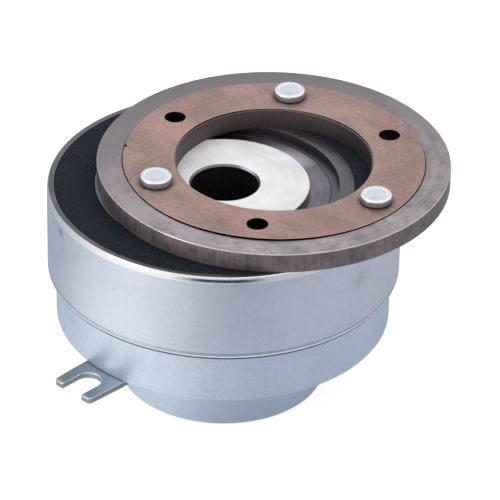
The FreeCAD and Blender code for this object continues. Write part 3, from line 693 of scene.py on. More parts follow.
def bronzed_spring(colours, rivets, head_radius):
    """Pinkish bronze-brown oxide on rolled spring steel, with painted shade round the rivets."""
    paint = Paint("bronzed_spring", 0.75, armature_centre)
    cloud = paint.noise(paint.place, 48, 6, 0.62)
    fine = paint.noise(paint.place, 900, 3)
    rolled = paint.noise(paint.stretched((0.08, 1, 1)), 1500, 2)
    mixed = paint.blend((cloud, 0.65), (fine, 0.35))
    base = colours.spring
    shade = paint.shaded(mixed, 0.37, 0.63, tone(base, 0.74), tone(base, 1.26))
    smear = paint.noise(paint.stretched((0.3, 1, 1)), 210, 5, 0.65)
    shade = paint.between(paint.spread(smear, 0.5, 0.68, 0.0, 0.3), shade, tone(base, 0.5))
    # Painted shade: a dark ring on the spring round the foot of each rivet
    for x, y in rivets:
        place = (x - armature_centre[0], y - armature_centre[1], disc_high.z)
        near = paint.spread(paint.away(place), head_radius, head_radius + 1.3 * MM, 0.75, 0.0)
        shade = paint.between(near, shade, tone(base, 0.25))
    paint.set(
        Base_Color=shade,
        Roughness=paint.spread(cloud, *MIDDLE, 0.42, 0.55),
        Normal=paint.bump(rolled, 0.003 * MM, paint.bump(fine, 0.004 * MM)),
    )
    return paint.material


def friction_lining_material(colours):
    """Near-black moulded friction material with fine pale fibres and grains."""
    paint = Paint("friction_material", 0.0)
    grain = paint.noise(paint.place, 1600, 4, 0.7)
    speck = paint.noise(paint.place, 1500, 2)
    base = colours.lining
    shade = paint.shaded(grain, 0.35, 0.7, tone(base, 0.7), tone(base, 1.6))
    shade = paint.between(paint.spread(speck, 0.64, 0.74, 0.0, 0.3), shade, (0.16, 0.19, 0.24))
    paint.set(
        Base_Color=shade,
        Roughness=paint.spread(grain, *MIDDLE, 0.62, 0.85),
        Normal=paint.bump(grain, 0.03 * MM),
    )
    paint.surface.inputs["Specular IOR Level"].default_value = 0.12
    return paint.material


def plain_metal(name, base, roughness, metallic=1.0):
    """Plain ground metal with a fine grain."""
    paint = Paint(name, metallic)
    marks = paint.noise(paint.place, 1200, 3)
    shade = paint.shaded(marks, 0.35, 0.65, tone(base, 0.88), tone(base, 1.1))
    paint.set(
        Base_Color=shade,
        Roughness=paint.spread(marks, *MIDDLE, roughness * 0.85, roughness * 1.15),
        Normal=paint.bump(marks, 0.002 * MM),
    )
    return paint.material


def plain_plastic(name, base, roughness, grain=1500):
    """Moulded plastic, rubber or resin with a fine grain."""
    paint = Paint(name, 0.0)
    marks = paint.noise(paint.place, grain, 3)
    cloud = paint.noise(paint.place, 120, 3)
    shade = paint.shaded(cloud, 0.35, 0.65, tone(base, 0.85), tone(base, 1.15))
    paint.set(
        Base_Color=shade,
        Roughness=paint.spread(marks, *MIDDLE, roughness - 0.08, roughness + 0.08),
        Normal=paint.bump(marks, 0.006 * MM),
    )
    return paint.material


def wound_copper(colours):
    """Enamelled wire laid turn by turn."""
    paint = Paint("wound_copper", 0.9)
    turns = paint.noise(paint.stretched((0.03, 0.03, 1)), 1800, 1)
    shade = paint.between(turns, tone(colours.copper, 0.7), tone(colours.copper, 1.2))
    paint.set(Base_Color=shade, Roughness=0.35, Normal=paint.bump(turns, 0.15 * MM))
    return paint.material


# Rotor

# Finishes of the drum, in the order of its materials
PLATED, GROUND, PAINTED_HIGHLIGHT, SHADOWED, DULL, PAINTED_GROOVE_SHADE, PAINTED_LIP_HIGHLIGHT = range(7)
# Heights over the drum's foot, in radii of its lip
LIP_TOP = 1.1
GROOVE_BOTTOM = 1.6
GROOVE_TOP = 1.8


def drum_finish(sizes):
    """Picks the finish of a face of the drum by its place and normal."""
    face, foot = drum_high.z, drum_low.z - sizes.skirt_reach
    ground_bottom = face - 5 * MM
    crown_inner, crown_bottom = drum_high.x - sizes.crown_width, face - sizes.crown_height
    lip_top = foot + LIP_TOP * sizes.lip_radius
    groove_top = foot + GROOVE_TOP * sizes.lip_radius
    pole_gap, flange_gap = 0.1 * MM, 0.3 * MM

    def pick(centre, normal):
        radius = math.hypot(centre.x, centre.y)
        if normal.z > LEVEL and centre.z > ground_bottom:
            return GROUND
        # Painted highlight on the upward faces of the drum's rounded top corner
        if radius > crown_inner and centre.z > crown_bottom:
            return PAINTED_HIGHLIGHT if normal.z > 0.03 else PLATED
        # The lip: painted shade in the groove over it, a painted highlight on its upper round, painted
        # shade below
        if radius > lining_outer and centre.z < groove_top:
            if centre.z > lip_top:
                return PAINTED_GROOVE_SHADE
            return PAINTED_LIP_HIGHLIGHT if normal.z > -0.25 else SHADOWED
        if abs(radius - sizes.pole_inner) < pole_gap or radius < sizes.flange_radius + flange_gap:
            return DULL
        return PLATED

    return pick


def build_drum(sizes, colours):
    outer = drum_high.x
    face = drum_high.z
    seat = lining_low.z
    recess = face - sizes.recess_depth
    web_bottom = seat - sizes.web
    foot = drum_low.z - sizes.skirt_reach
    steps = 12
    corner = []
    for step in range(steps + 1):
        angle = math.pi / 2 * step / steps
        inwards = sizes.crown_width * (1 - math.cos(angle))
        upwards = sizes.crown_height * (math.sin(angle) - 1)
        corner.append((outer - inwards, face + upwards))
    lip = []
    for degrees in range(-90, 26, 10):
        angle = math.radians(degrees)
        inwards = sizes.lip_radius * (1 - math.cos(angle))
        lip.append((outer - inwards, foot + sizes.lip_radius * (1 + math.sin(angle))))
    outline = [
        (lining_outer, foot),
        *lip,
        (outer - sizes.lip_groove, foot + GROOVE_BOTTOM * sizes.lip_radius),
        (outer, foot + GROOVE_TOP * sizes.lip_radius),
        *corner,
        (lining_outer, face),
        (lining_outer, seat),
        (lining_inner, seat),
        (lining_inner, face),
        (sizes.pole_inner, face),
        (sizes.pole_inner, recess),
        (sizes.flange_radius, recess),
        (sizes.flange_radius, web_bottom),
        (lining_outer, web_bottom),
    ]
    piece = turned_piece("rotor_drum_plated", outline)
    pole_edges = [(lining_outer, face), (lining_inner, face), (sizes.pole_inner, face)]
    round_rings(piece, sizes.pole_round, pole_edges, segments=2)
    # Smudges in the plating: place, radius and depth of tone
    spots = [
        ((-17.6 * MM, -46.8 * MM, 58.5 * MM), 2.6 * MM, 0.75),
        ((49.9 * MM, 3.0 * MM, 52.0 * MM), 4.5 * MM, 0.35),
    ]
    finishes = [
        zinc_plate("zinc_plated_drum", colours.zinc_light, colours.zinc_dark, spots=spots),
        turned_steel("ground_pole_faces", colours.ground_steel, (0.36, 0.5), 0.2),
        plain_metal("painted_highlight_zinc", colours.painted_highlight_tone, 0.13),
        plain_metal("shadowed_zinc", colours.shadowed, 0.45),
        plain_metal("dull_recess_wall", colours.dull_steel, 0.5),
        plain_metal("painted_groove_shade_zinc", colours.groove_shade_tone, 0.35),
        plain_metal("bright_lip", colours.bright_lip, 0.3, metallic=0.0),
    ]
    round_rings(piece, sizes.seam, [(sizes.flange_radius, recess)], segments=1)
    finish_piece(piece, "rotor", finishes, drum_finish(sizes), ["rotor_drum"])


def build_lining(sizes, colours):
    outline = [
        (lining_inner, lining_low.z),
        (lining_outer, lining_low.z),
        (lining_outer, lining_high.z),
        (lining_inner, lining_high.z),
    ]
    piece = turned_piece("friction_lining_ring", outline)
    edges = [(lining_inner, lining_high.z), (lining_outer, lining_high.z)]
    round_rings(piece, sizes.lining_round, edges, segments=2)
    material = friction_lining_material(colours)
    finish_piece(piece, "rotor", [material], nodes=["friction_lining"])


def build_hub(sizes, colours):
    face = hub_high.z
    rear = hub_low.z
    recess = drum_high.z - sizes.recess_depth
    web_bottom = lining_low.z - sizes.web
    groove_bottom = race_low.z - sizes.ring_groove
    groove_radius = sizes.seat_radius - sizes.groove_depth
    outline = [
        (sizes.bore_radius, rear),
        (sizes.seat_radius, rear),
        (sizes.seat_radius, groove_bottom),
        (groove_radius, groove_bottom),
        (groove_radius, race_low.z),
        (sizes.seat_radius, race_low.z),
        (sizes.seat_radius, race_high.z),
        (sizes.shoulder_radius, race_high.z),
        (sizes.shoulder_radius, sizes.tube_bottom),
        (sizes.tube_radius, sizes.tube_bottom),
        (sizes.tube_radius, web_bottom),
        (sizes.flange_radius, web_bottom),
        (sizes.flange_radius, recess),
        (sizes.nose_radius + sizes.relief, recess),
        (sizes.nose_radius, recess - sizes.seam),
        (sizes.nose_radius, face),
        (sizes.bore_radius, face),
    ]
    piece = turned_piece("rotor_hub_turned", outline)
    round_rings(piece, sizes.bore_chamfer, [(sizes.bore_radius, face)], segments=1)
    round_rings(piece, sizes.rear_chamfer, [(sizes.bore_radius, rear)], segments=1)
    round_rings(piece, sizes.seam, [(sizes.flange_radius, recess)], segments=1)
    round_rings(piece, sizes.nose_round, [(sizes.nose_radius, face)], segments=3)
    reach = sizes.bore_radius + sizes.key_depth
    through = (face - rear) * 1.2
    middle = reach / 2
    across, along = middle * math.cos(sizes.key_angle), middle * math.sin(sizes.key_angle)
    place = (across, along, (face + rear) / 2)
    cut(piece, block("keyway_cutter", (reach, sizes.key_width, through), place, sizes.key_angle))
    nose, ground, dull = range(3)
    nose_bottom = face - 0.5 * MM

    def pick(centre, normal):
        radius = math.hypot(centre.x, centre.y)
        if centre.z > nose_bottom:
            return nose if radius > sizes.bore_radius + sizes.bore_chamfer else ground
        # A near-black ring on the recess floor round the foot of the nose, over a shallow dip, and at
        # the flange's seam
        if radius < sizes.nose_radius + sizes.relief or radius > sizes.flange_radius - sizes.seam:
            return dull
        return ground

    finishes = [
        turned_steel(
            "bright_nose_steel", colours.nose_steel, (0.5, 0.62), 0.09, cloud_scale=90, metallic=0.1
        ),
        turned_steel(
            "ground_recess_floor",
            tone(colours.ground_steel, 1.25),
            (0.3, 0.42),
            0.3,
            # A painted sheen on the recess floor towards this angle
            painted_sheen_angle=sizes.painted_sheen_angle,
        ),
        plain_metal("dull_bore_steel", tone(colours.dull_steel, 3.0), 0.35),
    ]
    finish_piece(piece, "rotor", finishes, pick, ["rotor_hub"])


# Field

def build_shell(sizes, colours):
    outer = shell_high.x
    inner = outer - sizes.shell_wall
    plate_front = shell_low.z + sizes.back_plate
    outline = [
        (sizes.boss_radius, shell_low.z),
        (outer, shell_low.z),
        (outer, shell_high.z),
        (inner, shell_high.z),
        (inner, plate_front),
        (sizes.boss_radius, plate_front),
    ]
    piece = turned_piece("field_shell_plated", outline)
    round_rings(piece, sizes.edge_round, [(outer, shell_low.z), (outer, shell_high.z)])
    lead = node_centre("lead_grommet")
    bottom, top = shell_low.z - MARGIN, plate_front + MARGIN
    cut(piece, cylinder("lead_cutter", sizes.lead_radius, lead, bottom, top))
    zinc = zinc_plate("zinc_plated_shell", colours.shell_light, colours.shell_dark, (0.38, 0.52))
    finish_piece(piece, "field", [zinc], nodes=["field_shell"])


def build_housing(sizes, colours):
    plate_front = shell_low.z + sizes.back_plate
    seat = race_high.x
    groove_bottom = race_low.z - sizes.ring_groove
    groove_radius = seat + sizes.groove_depth
    foot = boss_low.z
    outline = [
        (seat, foot),
        (sizes.boss_radius, foot),
        (sizes.boss_radius, plate_front),
        (sizes.core_outer, plate_front),
        (sizes.core_outer, boss_high.z),
        (sizes.core_inner, boss_high.z),
        (sizes.core_inner, shell_low.z),
        (sizes.bearing_land, shell_low.z),
        (sizes.bearing_land, race_high.z),
        (seat, race_high.z),
        (seat, race_low.z),
        (groove_radius, race_low.z),
        (groove_radius, groove_bottom),
        (seat, groove_bottom),
    ]
    piece = turned_piece("bearing_housing_plated", outline)
    round_rings(piece, sizes.boss_chamfer, [(sizes.boss_radius, foot)], segments=3)
    round_rings(piece, sizes.seat_round, [(seat, foot)], segments=2)
    zinc = zinc_plate("zinc_plated_boss", colours.shell_light, tone(colours.shell_dark, 1.02))
    finish_piece(piece, "field", [zinc], nodes=["bearing_housing"])


def upright_corner(level, half):
    """A test for the two upright edges at one end of the arm."""

    def wanted(first, second):
        upright = abs(first.x - second.x) < NEAR and abs(first.y - second.y) < NEAR
        return upright and abs(first.y - level) < NEAR and abs(abs(first.x) - half) < NEAR

    return wanted


def build_arm(sizes, colours):
    tip = arm_low.y
    root = arm_high.y
    half_root = arm_high.x
    half_tip = half_root - sizes.arm_taper
    shell_edge = shell_low.y
    thickness = arm_high.z - arm_low.z
    middle = (arm_high.z + arm_low.z) / 2
    piece = block(
        "torque_arm_plated", (2 * half_root, root - tip, thickness), (0, (root + tip) / 2, middle)
    )
    edit(piece)
    bpy.ops.mesh.select_all(action="SELECT")
    bpy.ops.mesh.bisect(plane_co=(0, shell_edge, middle), plane_no=(0, 1, 0))
    select_edges(piece, lambda *ends: all(abs(point.y - tip) < NEAR for point in ends))
    share = half_tip / half_root
    bpy.ops.transform.resize(value=(share, 1, 1), center_override=(0, tip, middle))
    leave_edit()
    for level, half in ((tip, half_tip), (root, half_root)):
        round_edges(piece, sizes.arm_corner, upright_corner(level, half), segments=6)
    slot_half = sizes.slot_width / 2
    turn_place = tip + sizes.slot_depth - slot_half
    low, high = arm_low.z - MARGIN, arm_high.z + MARGIN
    slot_end = cylinder("slot_end_cutter", slot_half, (0, turn_place), low, high)
    mouth = tip - slot_half
    slot_box = block(
        "slot_cutter",
        (sizes.slot_width, turn_place - mouth, high - low),
        (0, (turn_place + mouth) / 2, middle),
    )
    cut(piece, slot_end, slot_box)
    round_sharp_edges(piece, sizes.arm_edge)
    finishes = [
        zinc_plate("zinc_plated_arm", colours.arm_light, colours.arm_dark, (0.3, 0.45)),
        plain_metal("painted_highlight_arm_edge", colours.zinc_light, 0.3),
    ]

    # Painted highlight on the rounded edges that face up
    def pick(centre, normal):
        painted_highlight = 0.2 < normal.z < 0.95
        return int(painted_highlight)

    finish_piece(piece, "field", finishes, pick, ["torque_arm"])


def build_coil(colours):
    dress_node("coil_bobbin", plain_plastic("spool_nylon", colours.nylon, 0.5))
    dress_node("coil_winding", wound_copper(colours))
    dress_node("coil_resin", plain_plastic("potting_resin", colours.resin, 0.3, grain=400))
    dress_node("lead_grommet", plain_plastic("black_rubber", colours.rubber, 0.6))


# Bearing

def build_bearing(colours):
    steel = plain_metal("bearing_steel", colours.bearing, 0.22)
    shield = plain_metal("shield_steel", tone(colours.bearing, 0.9), 0.34)
    blued = plain_metal("blued_spring_steel", colours.blued_steel, 0.3)
    for node in ("bearing_inner_ring", "bearing_outer_ring", "bearing_balls"):
        dress_node(node, steel)
    dress_node("bearing_shields", shield)
    dress_node("bearing_cage", plain_plastic("cage_nylon", colours.nylon, 0.45))
    for node in ("housing_circlip", "hub_circlip"):
        dress_node(node, blued)


# Armature

def fastening_places(sizes, offset=0.0):
    """Places on the fastening circle, one for each rivet, turned by an offset."""
    for index in range(sizes.rivets):
        angle = sizes.turn + offset + FULL_TURN * index / sizes.rivets
        yield (
            armature_centre[0] + sizes.circle * math.cos(angle),
            armature_centre[1] + sizes.circle * math.sin(angle),
        )


def build_disc(sizes, colours):
    under_spring, spring_shadow_outer = spring_outer - 1 * MM, spring_outer + sizes.spring_shadow
    outline = [
        (disc_inner, disc_low.z),
        (disc_outer, disc_low.z),
        (disc_outer, disc_high.z),
        (spring_shadow_outer, disc_high.z),
        (under_spring, disc_high.z),
        (disc_inner, disc_high.z),
    ]
    piece = turned_piece("armature_disc_ground", outline, armature_centre)
    rings = [(disc_outer, disc_low.z), (disc_outer, disc_high.z), (disc_inner, disc_high.z)]
    round_rings(piece, sizes.disc_chamfer, rings, armature_centre, segments=4)
    half_step = math.pi / sizes.rivets
    below, above = disc_low.z - MARGIN, disc_high.z + MARGIN
    sink_top = disc_low.z + sizes.sink_depth
    for place in fastening_places(sizes, half_step):
        cut(piece, cylinder("screw_cutter", sizes.clearance_radius, place, below, above))
    for place in fastening_places(sizes):
        cut(
            piece,
            cylinder("shank_cutter", sizes.shank_radius + sizes.shank_gap, place, below, above),
            cylinder("sink_cutter", sizes.tail_radius + sizes.shank_gap, place, below, sink_top),
        )
    side, face, bore, hole_and_shadow, edge = range(5)
    rim, inner_rim = disc_outer - 2 * MM, disc_inner + 2 * MM

    def pick(centre, normal):
        radius = math.hypot(centre.x - armature_centre[0], centre.y - armature_centre[1])
        # Painted shadow: a near-black ring on the disc's face along the spring's rim, in the finish of
        # the holes
        if normal.z > FLAT and under_spring < radius < spring_shadow_outer:
            return hole_and_shadow
        if abs(normal.z) > FLAT:
            return face
        if radius > rim:
            return edge if normal.z > 0.05 else side
        return bore if radius < inner_rim else hole_and_shadow

    finishes = [
        disc_side_steel(colours),
        turned_steel(
            "disc_face_steel",
            colours.disc_face,
            (0.38, 0.5),
            0.27,
            armature_centre,
            cloud_scale=60,
            # Painted shade darkens the disc's face towards one side
            one_side_shade=0.6,
            flecks=0.6,
        ),
        plain_metal("dull_disc_bore", colours.disc_bore, 0.5),
        plain_metal("black_disc_hole_and_shadow", tone(colours.disc_bore, 0.2), 0.5),
        plain_metal("worn_disc_edge", colours.disc_edge, 0.16),
    ]
    finish_piece(piece, "armature", finishes, pick, ["armature_disc"])


def build_spring(sizes, colours):
    bottom = spring_low.z
    top = bottom + sizes.thickness
    steps = 14
    edge = sizes.edge
    width = spring_outer - spring_inner - 2 * edge
    across = [spring_inner + edge + width * step / steps for step in range(steps + 1)]
    outline = [(radius, bottom) for radius in across]
    outline += [(spring_outer, bottom + edge), (spring_outer, top - edge)]
    outline += [(radius, top) for radius in reversed(across)]
    outline += [(spring_inner, top - edge), (spring_inner, bottom + edge)]
    piece = turned_piece("spring_plate_bronzed", outline, armature_centre)
    below, above = bottom - MARGIN, top + MARGIN
    half_step = math.pi / sizes.rivets
    for place in fastening_places(sizes, half_step):
        cut(piece, cylinder("hole_cutter", sizes.hole_radius, place, below, above, 72))
    for place in fastening_places(sizes):
        cut(piece, cylinder("rivet_cutter", sizes.shank_radius + sizes.shank_gap, place, below, above))
    notch_angle = sizes.turn + sizes.notch_angle
    notch = (
        armature_centre[0] + spring_outer * math.cos(notch_angle),
        armature_centre[1] + spring_outer * math.sin(notch_angle),
    )
    cut(piece, cylinder("notch_cutter", sizes.notch_radius, notch, below, above, 32))
    lift = piece.vertex_groups.new(name="lift")
    for point in piece.data.vertices:
        angle = math.atan2(point.co.y - armature_centre[1], point.co.x - armature_centre[0])
        share = (1 - math.cos(sizes.rivets * (angle - sizes.turn))) / 2
        lift.add([point.index], share, "REPLACE")
    wave = piece.modifiers.new("bow", "DISPLACE")
    wave.direction = "Z"
    wave.mid_level = 0
    wave.strength = sizes.bow
    wave.vertex_group = lift.name
    apply_modifier(piece, wave)
    piece.vertex_groups.clear()
    bronzed, painted_highlight, dark = range(3)

    # Painted highlight on the edge chamfers that face up, painted shade on the underside and the cut
    # edges
    def pick(centre, normal):
        if normal.z > LEVEL:
            return bronzed
        return painted_highlight if normal.z > 0.4 else dark

    finishes = [
        bronzed_spring(colours, fastening_places(sizes), sizes.head_radius),
        plain_metal("painted_highlight_spring_edge", tone(colours.spring, 1.4), 0.3),
        plain_metal("painted_shade_spring_edge", tone(colours.spring, 0.12), 0.5),
    ]
    finish_piece(piece, "leaf_spring", finishes, pick, ["spring_plate"])
    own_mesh(piece)


def turned_copy(piece, name, angle):
    """A copy of a piece with its own mesh, turned round the armature's axis."""
    select_only(piece)
    bpy.ops.object.duplicate(linked=False)
    copy = bpy.context.object
    copy.name = name
    copy.data.name = name
    axis = Vector((*armature_centre, 0))
    turn = Matrix.Rotation(angle, 4, "Z")
    copy.matrix_world = Matrix.Translation(axis) @ turn @ Matrix.Translation(-axis)
    settle(copy)
    return copy


# Across a rivet's dished head: shares of its radius and of the dish's depth
DISHED_HEAD = ((0.74, 0.0), (0.66, 0.6), (0.34, 1.0), (0.28, 0.8), (0.05, 0.7))


def build_rivets(sizes, colours):
    head_top = rivet_high.z
    head_bottom = head_top - sizes.head_height
    tail_bottom = rivet_low.z
    tail_top = tail_bottom + sizes.tail_height
    outline = [
        (sizes.tail_radius * 0.3, tail_bottom),
        (sizes.tail_radius, tail_bottom),
        (sizes.tail_radius, tail_top),
        (sizes.shank_radius, tail_top),
        (sizes.shank_radius, head_bottom),
        (sizes.head_radius, head_bottom),
        (sizes.head_radius, head_top),
    ]
    for across, down in DISHED_HEAD:
        outline.append((sizes.head_radius * across, head_top - sizes.dish * down))
    places = list(fastening_places(sizes))
    first = turned_piece("rivet_1", outline, places[0], closed=False, segments=96)
    round_rings(first, sizes.head_round, [(sizes.head_radius, head_top)], places[0], 8)
    round_rings(first, sizes.head_foot, [(sizes.head_radius, head_bottom)], places[0], 2)
    round_rings(first, sizes.tail_round, [(sizes.tail_radius, tail_bottom)], places[0], 3)
    rivets = [first]
    for number in range(1, len(places)):
        rivets.append(turned_copy(first, "rivet_%d" % (number + 1), FULL_TURN * number / len(places)))

    turned, painted_highlight, side, foot = range(4)

    # Painted shadow where the head meets the spring, a painted highlight on its shoulder, painted shade
    # on its sides
    def pick(centre, normal):
        if centre.z < head_bottom:
            return turned
        if centre.z < head_bottom + sizes.head_foot:
            return foot
        if 0.3 < normal.z < 0.985:
            return painted_highlight
        return turned if normal.z > 0 else side

    for number, (piece, place) in enumerate(zip(rivets, places), 1):
        name = "bright_zinc_rivet_%d" % number
        finishes = [
            turned_steel(name, colours.rivet, (0.24, 0.34), 0.06, place, 300, 0.001 * MM),
            plain_metal("painted_highlight_" + name, colours.painted_highlight_tone, 0.2),
            plain_metal("shaded_" + name, colours.rivet_side, 0.22),
            plain_metal("painted_shadow_foot_" + name, tone(colours.rivet_side, 0.12), 0.4),
        ]
        nodes = ["armature_rivets"] if number == 1 else []
        finish_piece(piece, "armature", finishes, pick, nodes)


# Stage

# Direction round the shaft that the object's front faces
FRONT = math.radians(-46.3)
# Soft lights of the studio: turn from the front in degrees, sharpness and weight
STUDIO_LOBES = ((-50, 3.0, 1.0), (80, 1.0, 0.27))
ROOM_TONE = (0.41, 0.445, 0.52)
DARK_TONE = (0.02, 0.03, 0.045)
PAPER_TONE = (0.44, 0.44, 0.44)
# Strength of the floor's glow to the camera, and the share of it that metal sees unshaded
FLOOR_GLOW = 0.78
FLOOR_LIFT = 0.4
# The dark patch: distances where it begins and where it ends, and cosines at its two sides
PATCH_START = (0.165, 0.20)
PATCH_END = (0.60, 0.42)
PATCH_SIDES = (0.90, 0.98)
# Slopes of a direction between which the room turns white overhead
CEILING = (0.1, 0.5)
# The softbox: where it stands, what it points at, its side and its power
LAMP_PLACE = Vector((-0.32, -1.19, 0.42))
LAMP_TARGET = Vector((0, 0, 0.04))
LAMP_SIZE = 0.5
LAMP_POWER = 2.1


def studio_light(nodes, direction):
    """Colour of the studio seen along a direction: a soft light from the left over a cooler room."""
    lobes = []
    for turn, sharpness, weight in STUDIO_LOBES:
        facing = nodes.facing(direction, FRONT + math.radians(turn))
        lobe = nodes.math("POWER", nodes.math("MAXIMUM", facing), sharpness)
        lobes.append(nodes.math("MULTIPLY", lobe, weight))
    total = nodes.add("ShaderNodeMath", dict(enumerate(lobes)), operation="ADD", use_clamp=True)
    return nodes.between(total.outputs[0], ROOM_TONE, WHITE)


def darkened(nodes, light, place):
    """The studio's light with a dark patch some way in front of the object."""
    distance = nodes.vector("LENGTH", place, output="Value")
    start = nodes.spread(distance, *PATCH_START)
    end = nodes.spread(distance, *PATCH_END)
    sides = nodes.spread(nodes.facing(place, FRONT), *PATCH_SIDES)
    share = nodes.math("MULTIPLY", nodes.math("MULTIPLY", start, end), sides)
    return nodes.between(share, light, DARK_TONE)


def ray_is(nodes, *kinds):
    """1 for rays of any of these kinds."""
    path = nodes.add("ShaderNodeLightPath")
    result = path.outputs[kinds[0]]
    for kind in kinds[1:]:
        result = nodes.math("MAXIMUM", result, path.outputs[kind])
    return result


def emptied(holder):
    """The nodes of a material or world, with none in it yet."""
    holder.use_nodes = True
    holder.node_tree.nodes.clear()
    return Nodes(holder.node_tree)


def build_world():
    """A white backdrop to the camera, and the studio's light to everything else."""
    world = bpy.data.worlds.new("studio")
    bpy.context.scene.world = world
    nodes = emptied(world)
    direction = nodes.add("ShaderNodeTexCoord").outputs["Generated"]
    height = nodes.add("ShaderNodeSeparateXYZ", {0: direction}).outputs["Z"]
    seen = nodes.between(nodes.spread(height, *CEILING), studio_light(nodes, direction), WHITE)
    room = nodes.shader("ShaderNodeBackground", {"Color": seen})
    backdrop = nodes.shader("ShaderNodeBackground", {"Color": (*WHITE, 1)})
    camera_ray = ray_is(nodes, "Is Camera Ray")
    choose = nodes.shader("ShaderNodeMixShader", {0: camera_ray, 1: room, 2: backdrop})
    nodes.add("ShaderNodeOutputWorld", {0: choose})


def floor_material():
    """Pale paper that keeps the shadow, white to the camera and banded softly in the metal."""
    material = bpy.data.materials.new("pale_floor")
    nodes = emptied(material)
    paper = nodes.shader("ShaderNodeBsdfDiffuse", {"Color": (*PAPER_TONE, 1)})
    strength = nodes.math("MULTIPLY", ray_is(nodes, "Is Camera Ray"), FLOOR_GLOW)
    glow = nodes.shader("ShaderNodeEmission", {"Color": (*WHITE, 1), "Strength": strength})
    lit = nodes.shader("ShaderNodeAddShader", {0: paper, 1: glow})
    place = nodes.add("ShaderNodeTexCoord").outputs["Object"]
    seen = darkened(nodes, studio_light(nodes, place), place)
    shaded = nodes.shader("ShaderNodeBsdfDiffuse", {"Color": seen})
    lifted = nodes.shader("ShaderNodeEmission", {"Color": seen})
    mirrored = nodes.shader("ShaderNodeMixShader", {0: FLOOR_LIFT, 1: shaded, 2: lifted})
    metal_ray = ray_is(nodes, "Is Glossy Ray", "Is Transmission Ray")
    choose = nodes.shader("ShaderNodeMixShader", {0: metal_ray, 1: lit, 2: mirrored})
    nodes.add("ShaderNodeOutputMaterial", {0: choose})
    return material


def build_floor(stage):
    deselect_all()
    gap = 0.02 * MM
    bpy.ops.mesh.primitive_plane_add(size=stage.floor_size, location=(0, 0, cad_box[0][2] - gap))
    floor = bpy.context.object
    floor.name = "floor"
    settle(floor)
    floor.data.materials.append(floor_material())


def build_lamp():
    data = bpy.data.lights.new("key_softbox", "AREA")
    data.shape = "SQUARE"
    data.size = LAMP_SIZE
    data.energy = LAMP_POWER
    lamp = bpy.data.objects.new("key_softbox", data)
    bpy.context.scene.collection.objects.link(lamp)
    lamp.location = LAMP_PLACE
    lamp.rotation_euler = (LAMP_TARGET - LAMP_PLACE).to_track_quat("-Z", "Y").to_euler()


def build_camera(stage):
    data = bpy.data.cameras.new("camera")
    data.lens = stage.lens
    data.sensor_width = 36
    data.clip_end = 20
    camera = bpy.data.objects.new("camera", data)
    bpy.context.scene.collection.objects.link(camera)
    turn = (
        Matrix.Rotation(stage.camera_azimuth, 4, "Z")
        @ Matrix.Rotation(math.pi / 2 - stage.camera_elevation, 4, "X")
        @ Matrix.Rotation(stage.camera_roll, 4, "Z")
    )
    camera.matrix_world = Matrix.Translation(stage.camera_place) @ turn
    bpy.context.scene.camera = camera


def build_stage(stage):
    bpy.context.scene.view_settings.view_transform = "Standard"
    build_world()
    build_floor(stage)
    build_lamp()
    build_camera(stage)


# Operators

class ClutchOperator:
    """What the operators share."""

    bl_options = {"REGISTER", "UNDO"}


class CLUTCH_OT_drum(ClutchOperator, bpy.types.Operator):
    """Makes the plated rotor drum with its two friction poles"""

    bl_idname = "clutch.drum"
    bl_label = "Rotor drum"

    def execute(self, context):
        build_drum(context.scene.clutch_rotor, context.scene.clutch_colours)
        return {"FINISHED"}


class CLUTCH_OT_lining(ClutchOperator, bpy.types.Operator):
    """Makes the friction lining between the poles"""

    bl_idname = "clutch.lining"
    bl_label = "Friction lining"

    def execute(self, context):
        build_lining(context.scene.clutch_rotor, context.scene.clutch_colours)
        return {"FINISHED"}


class CLUTCH_OT_hub(ClutchOperator, bpy.types.Operator):
    """Makes the hub with its bright nose, bore and keyway"""

    bl_idname = "clutch.hub"
    bl_label = "Rotor hub"

    def execute(self, context):
        build_hub(context.scene.clutch_rotor, context.scene.clutch_colours)
        return {"FINISHED"}


class CLUTCH_OT_shell(ClutchOperator, bpy.types.Operator):
    """Makes the plated field shell"""

    bl_idname = "clutch.shell"
    bl_label = "Field shell"

    def execute(self, context):
        build_shell(context.scene.clutch_field, context.scene.clutch_colours)
        return {"FINISHED"}


class CLUTCH_OT_housing(ClutchOperator, bpy.types.Operator):
    """Makes the bearing boss and the inner pole"""

    bl_idname = "clutch.housing"
    bl_label = "Bearing housing"

    def execute(self, context):
        build_housing(context.scene.clutch_field, context.scene.clutch_colours)
        return {"FINISHED"}


class CLUTCH_OT_arm(ClutchOperator, bpy.types.Operator):
    """Makes the forked torque arm"""

    bl_idname = "clutch.arm"
    bl_label = "Torque arm"

    def execute(self, context):
        build_arm(context.scene.clutch_field, context.scene.clutch_colours)
        return {"FINISHED"}


class CLUTCH_OT_coil(ClutchOperator, bpy.types.Operator):
    """Finishes the coil, its spool, its potting and the lead outlet"""

    bl_idname = "clutch.coil"
    bl_label = "Coil"

    def execute(self, context):
        build_coil(context.scene.clutch_colours)
        return {"FINISHED"}


class CLUTCH_OT_bearing(ClutchOperator, bpy.types.Operator):
    """Finishes the ball bearing and its two retaining rings"""

    bl_idname = "clutch.bearing"
    bl_label = "Bearing"

    def execute(self, context):
        build_bearing(context.scene.clutch_colours)
        return {"FINISHED"}


class CLUTCH_OT_disc(ClutchOperator, bpy.types.Operator):
    """Makes the armature disc"""

    bl_idname = "clutch.disc"
    bl_label = "Armature disc"

    def execute(self, context):
        build_disc(context.scene.clutch_armature, context.scene.clutch_colours)
        return {"FINISHED"}


class CLUTCH_OT_spring(ClutchOperator, bpy.types.Operator):
    """Makes the leaf spring, flat at the rivets and bowed up between them"""

    bl_idname = "clutch.spring"
    bl_label = "Leaf spring"

    def execute(self, context):
        build_spring(context.scene.clutch_armature, context.scene.clutch_colours)
        return {"FINISHED"}


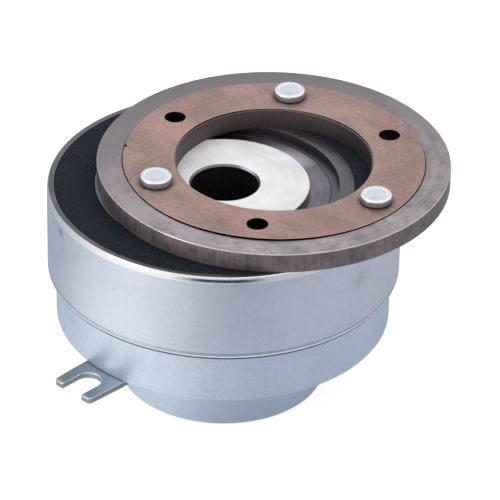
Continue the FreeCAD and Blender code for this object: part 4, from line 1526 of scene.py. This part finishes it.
class CLUTCH_OT_rivets(ClutchOperator, bpy.types.Operator):
    """Makes one rivet and its copies"""

    bl_idname = "clutch.rivets"
    bl_label = "Rivets"

    def execute(self, context):
        build_rivets(context.scene.clutch_armature, context.scene.clutch_colours)
        return {"FINISHED"}


class CLUTCH_OT_stage(ClutchOperator, bpy.types.Operator):
    """Sets up the floor, the lights and the camera"""

    bl_idname = "clutch.stage"
    bl_label = "Stage"

    def execute(self, context):
        build_stage(context.scene.clutch_stage)
        return {"FINISHED"}


OPERATORS = (
    CLUTCH_OT_drum,
    CLUTCH_OT_lining,
    CLUTCH_OT_hub,
    CLUTCH_OT_shell,
    CLUTCH_OT_housing,
    CLUTCH_OT_arm,
    CLUTCH_OT_coil,
    CLUTCH_OT_bearing,
    CLUTCH_OT_disc,
    CLUTCH_OT_spring,
    CLUTCH_OT_rivets,
    CLUTCH_OT_stage,
)

GROUPS = {
    "clutch_rotor": ClutchRotorSizes,
    "clutch_field": ClutchFieldSizes,
    "clutch_armature": ClutchArmatureSizes,
    "clutch_colours": ClutchColours,
    "clutch_stage": ClutchStage,
}


class CLUTCH_PT_panel(bpy.types.Panel):
    """Lists the pieces and their settings"""

    bl_idname = "CLUTCH_PT_panel"
    bl_label = "Clutch brake"
    bl_space_type = "VIEW_3D"
    bl_region_type = "UI"
    bl_category = "Clutch"

    def draw(self, context):
        layout = self.layout
        for operator in OPERATORS:
            layout.operator(operator.bl_idname)
        for name, group in GROUPS.items():
            box = layout.box()
            box.label(text=group.__doc__.splitlines()[0])
            for setting in group.__annotations__:
                box.prop(getattr(context.scene, name), setting)


def register():
    for group in GROUPS.values():
        bpy.utils.register_class(group)
    for operator in OPERATORS:
        bpy.utils.register_class(operator)
    bpy.utils.register_class(CLUTCH_PT_panel)
    for name, group in GROUPS.items():
        setattr(bpy.types.Scene, name, PointerProperty(type=group))


def unregister():
    for name in GROUPS:
        delattr(bpy.types.Scene, name)
    bpy.utils.unregister_class(CLUTCH_PT_panel)
    for operator in reversed(OPERATORS):
        bpy.utils.unregister_class(operator)
    for group in reversed(GROUPS.values()):
        bpy.utils.unregister_class(group)


def main():
    register()
    bpy.ops.clutch.drum()
    bpy.ops.clutch.lining()
    bpy.ops.clutch.hub()
    bpy.ops.clutch.shell()
    bpy.ops.clutch.housing()
    bpy.ops.clutch.arm()
    bpy.ops.clutch.coil()
    bpy.ops.clutch.bearing()
    bpy.ops.clutch.disc()
    bpy.ops.clutch.spring()
    bpy.ops.clutch.rivets()
    bpy.ops.clutch.stage()


if __name__ == "__main__":
    main()
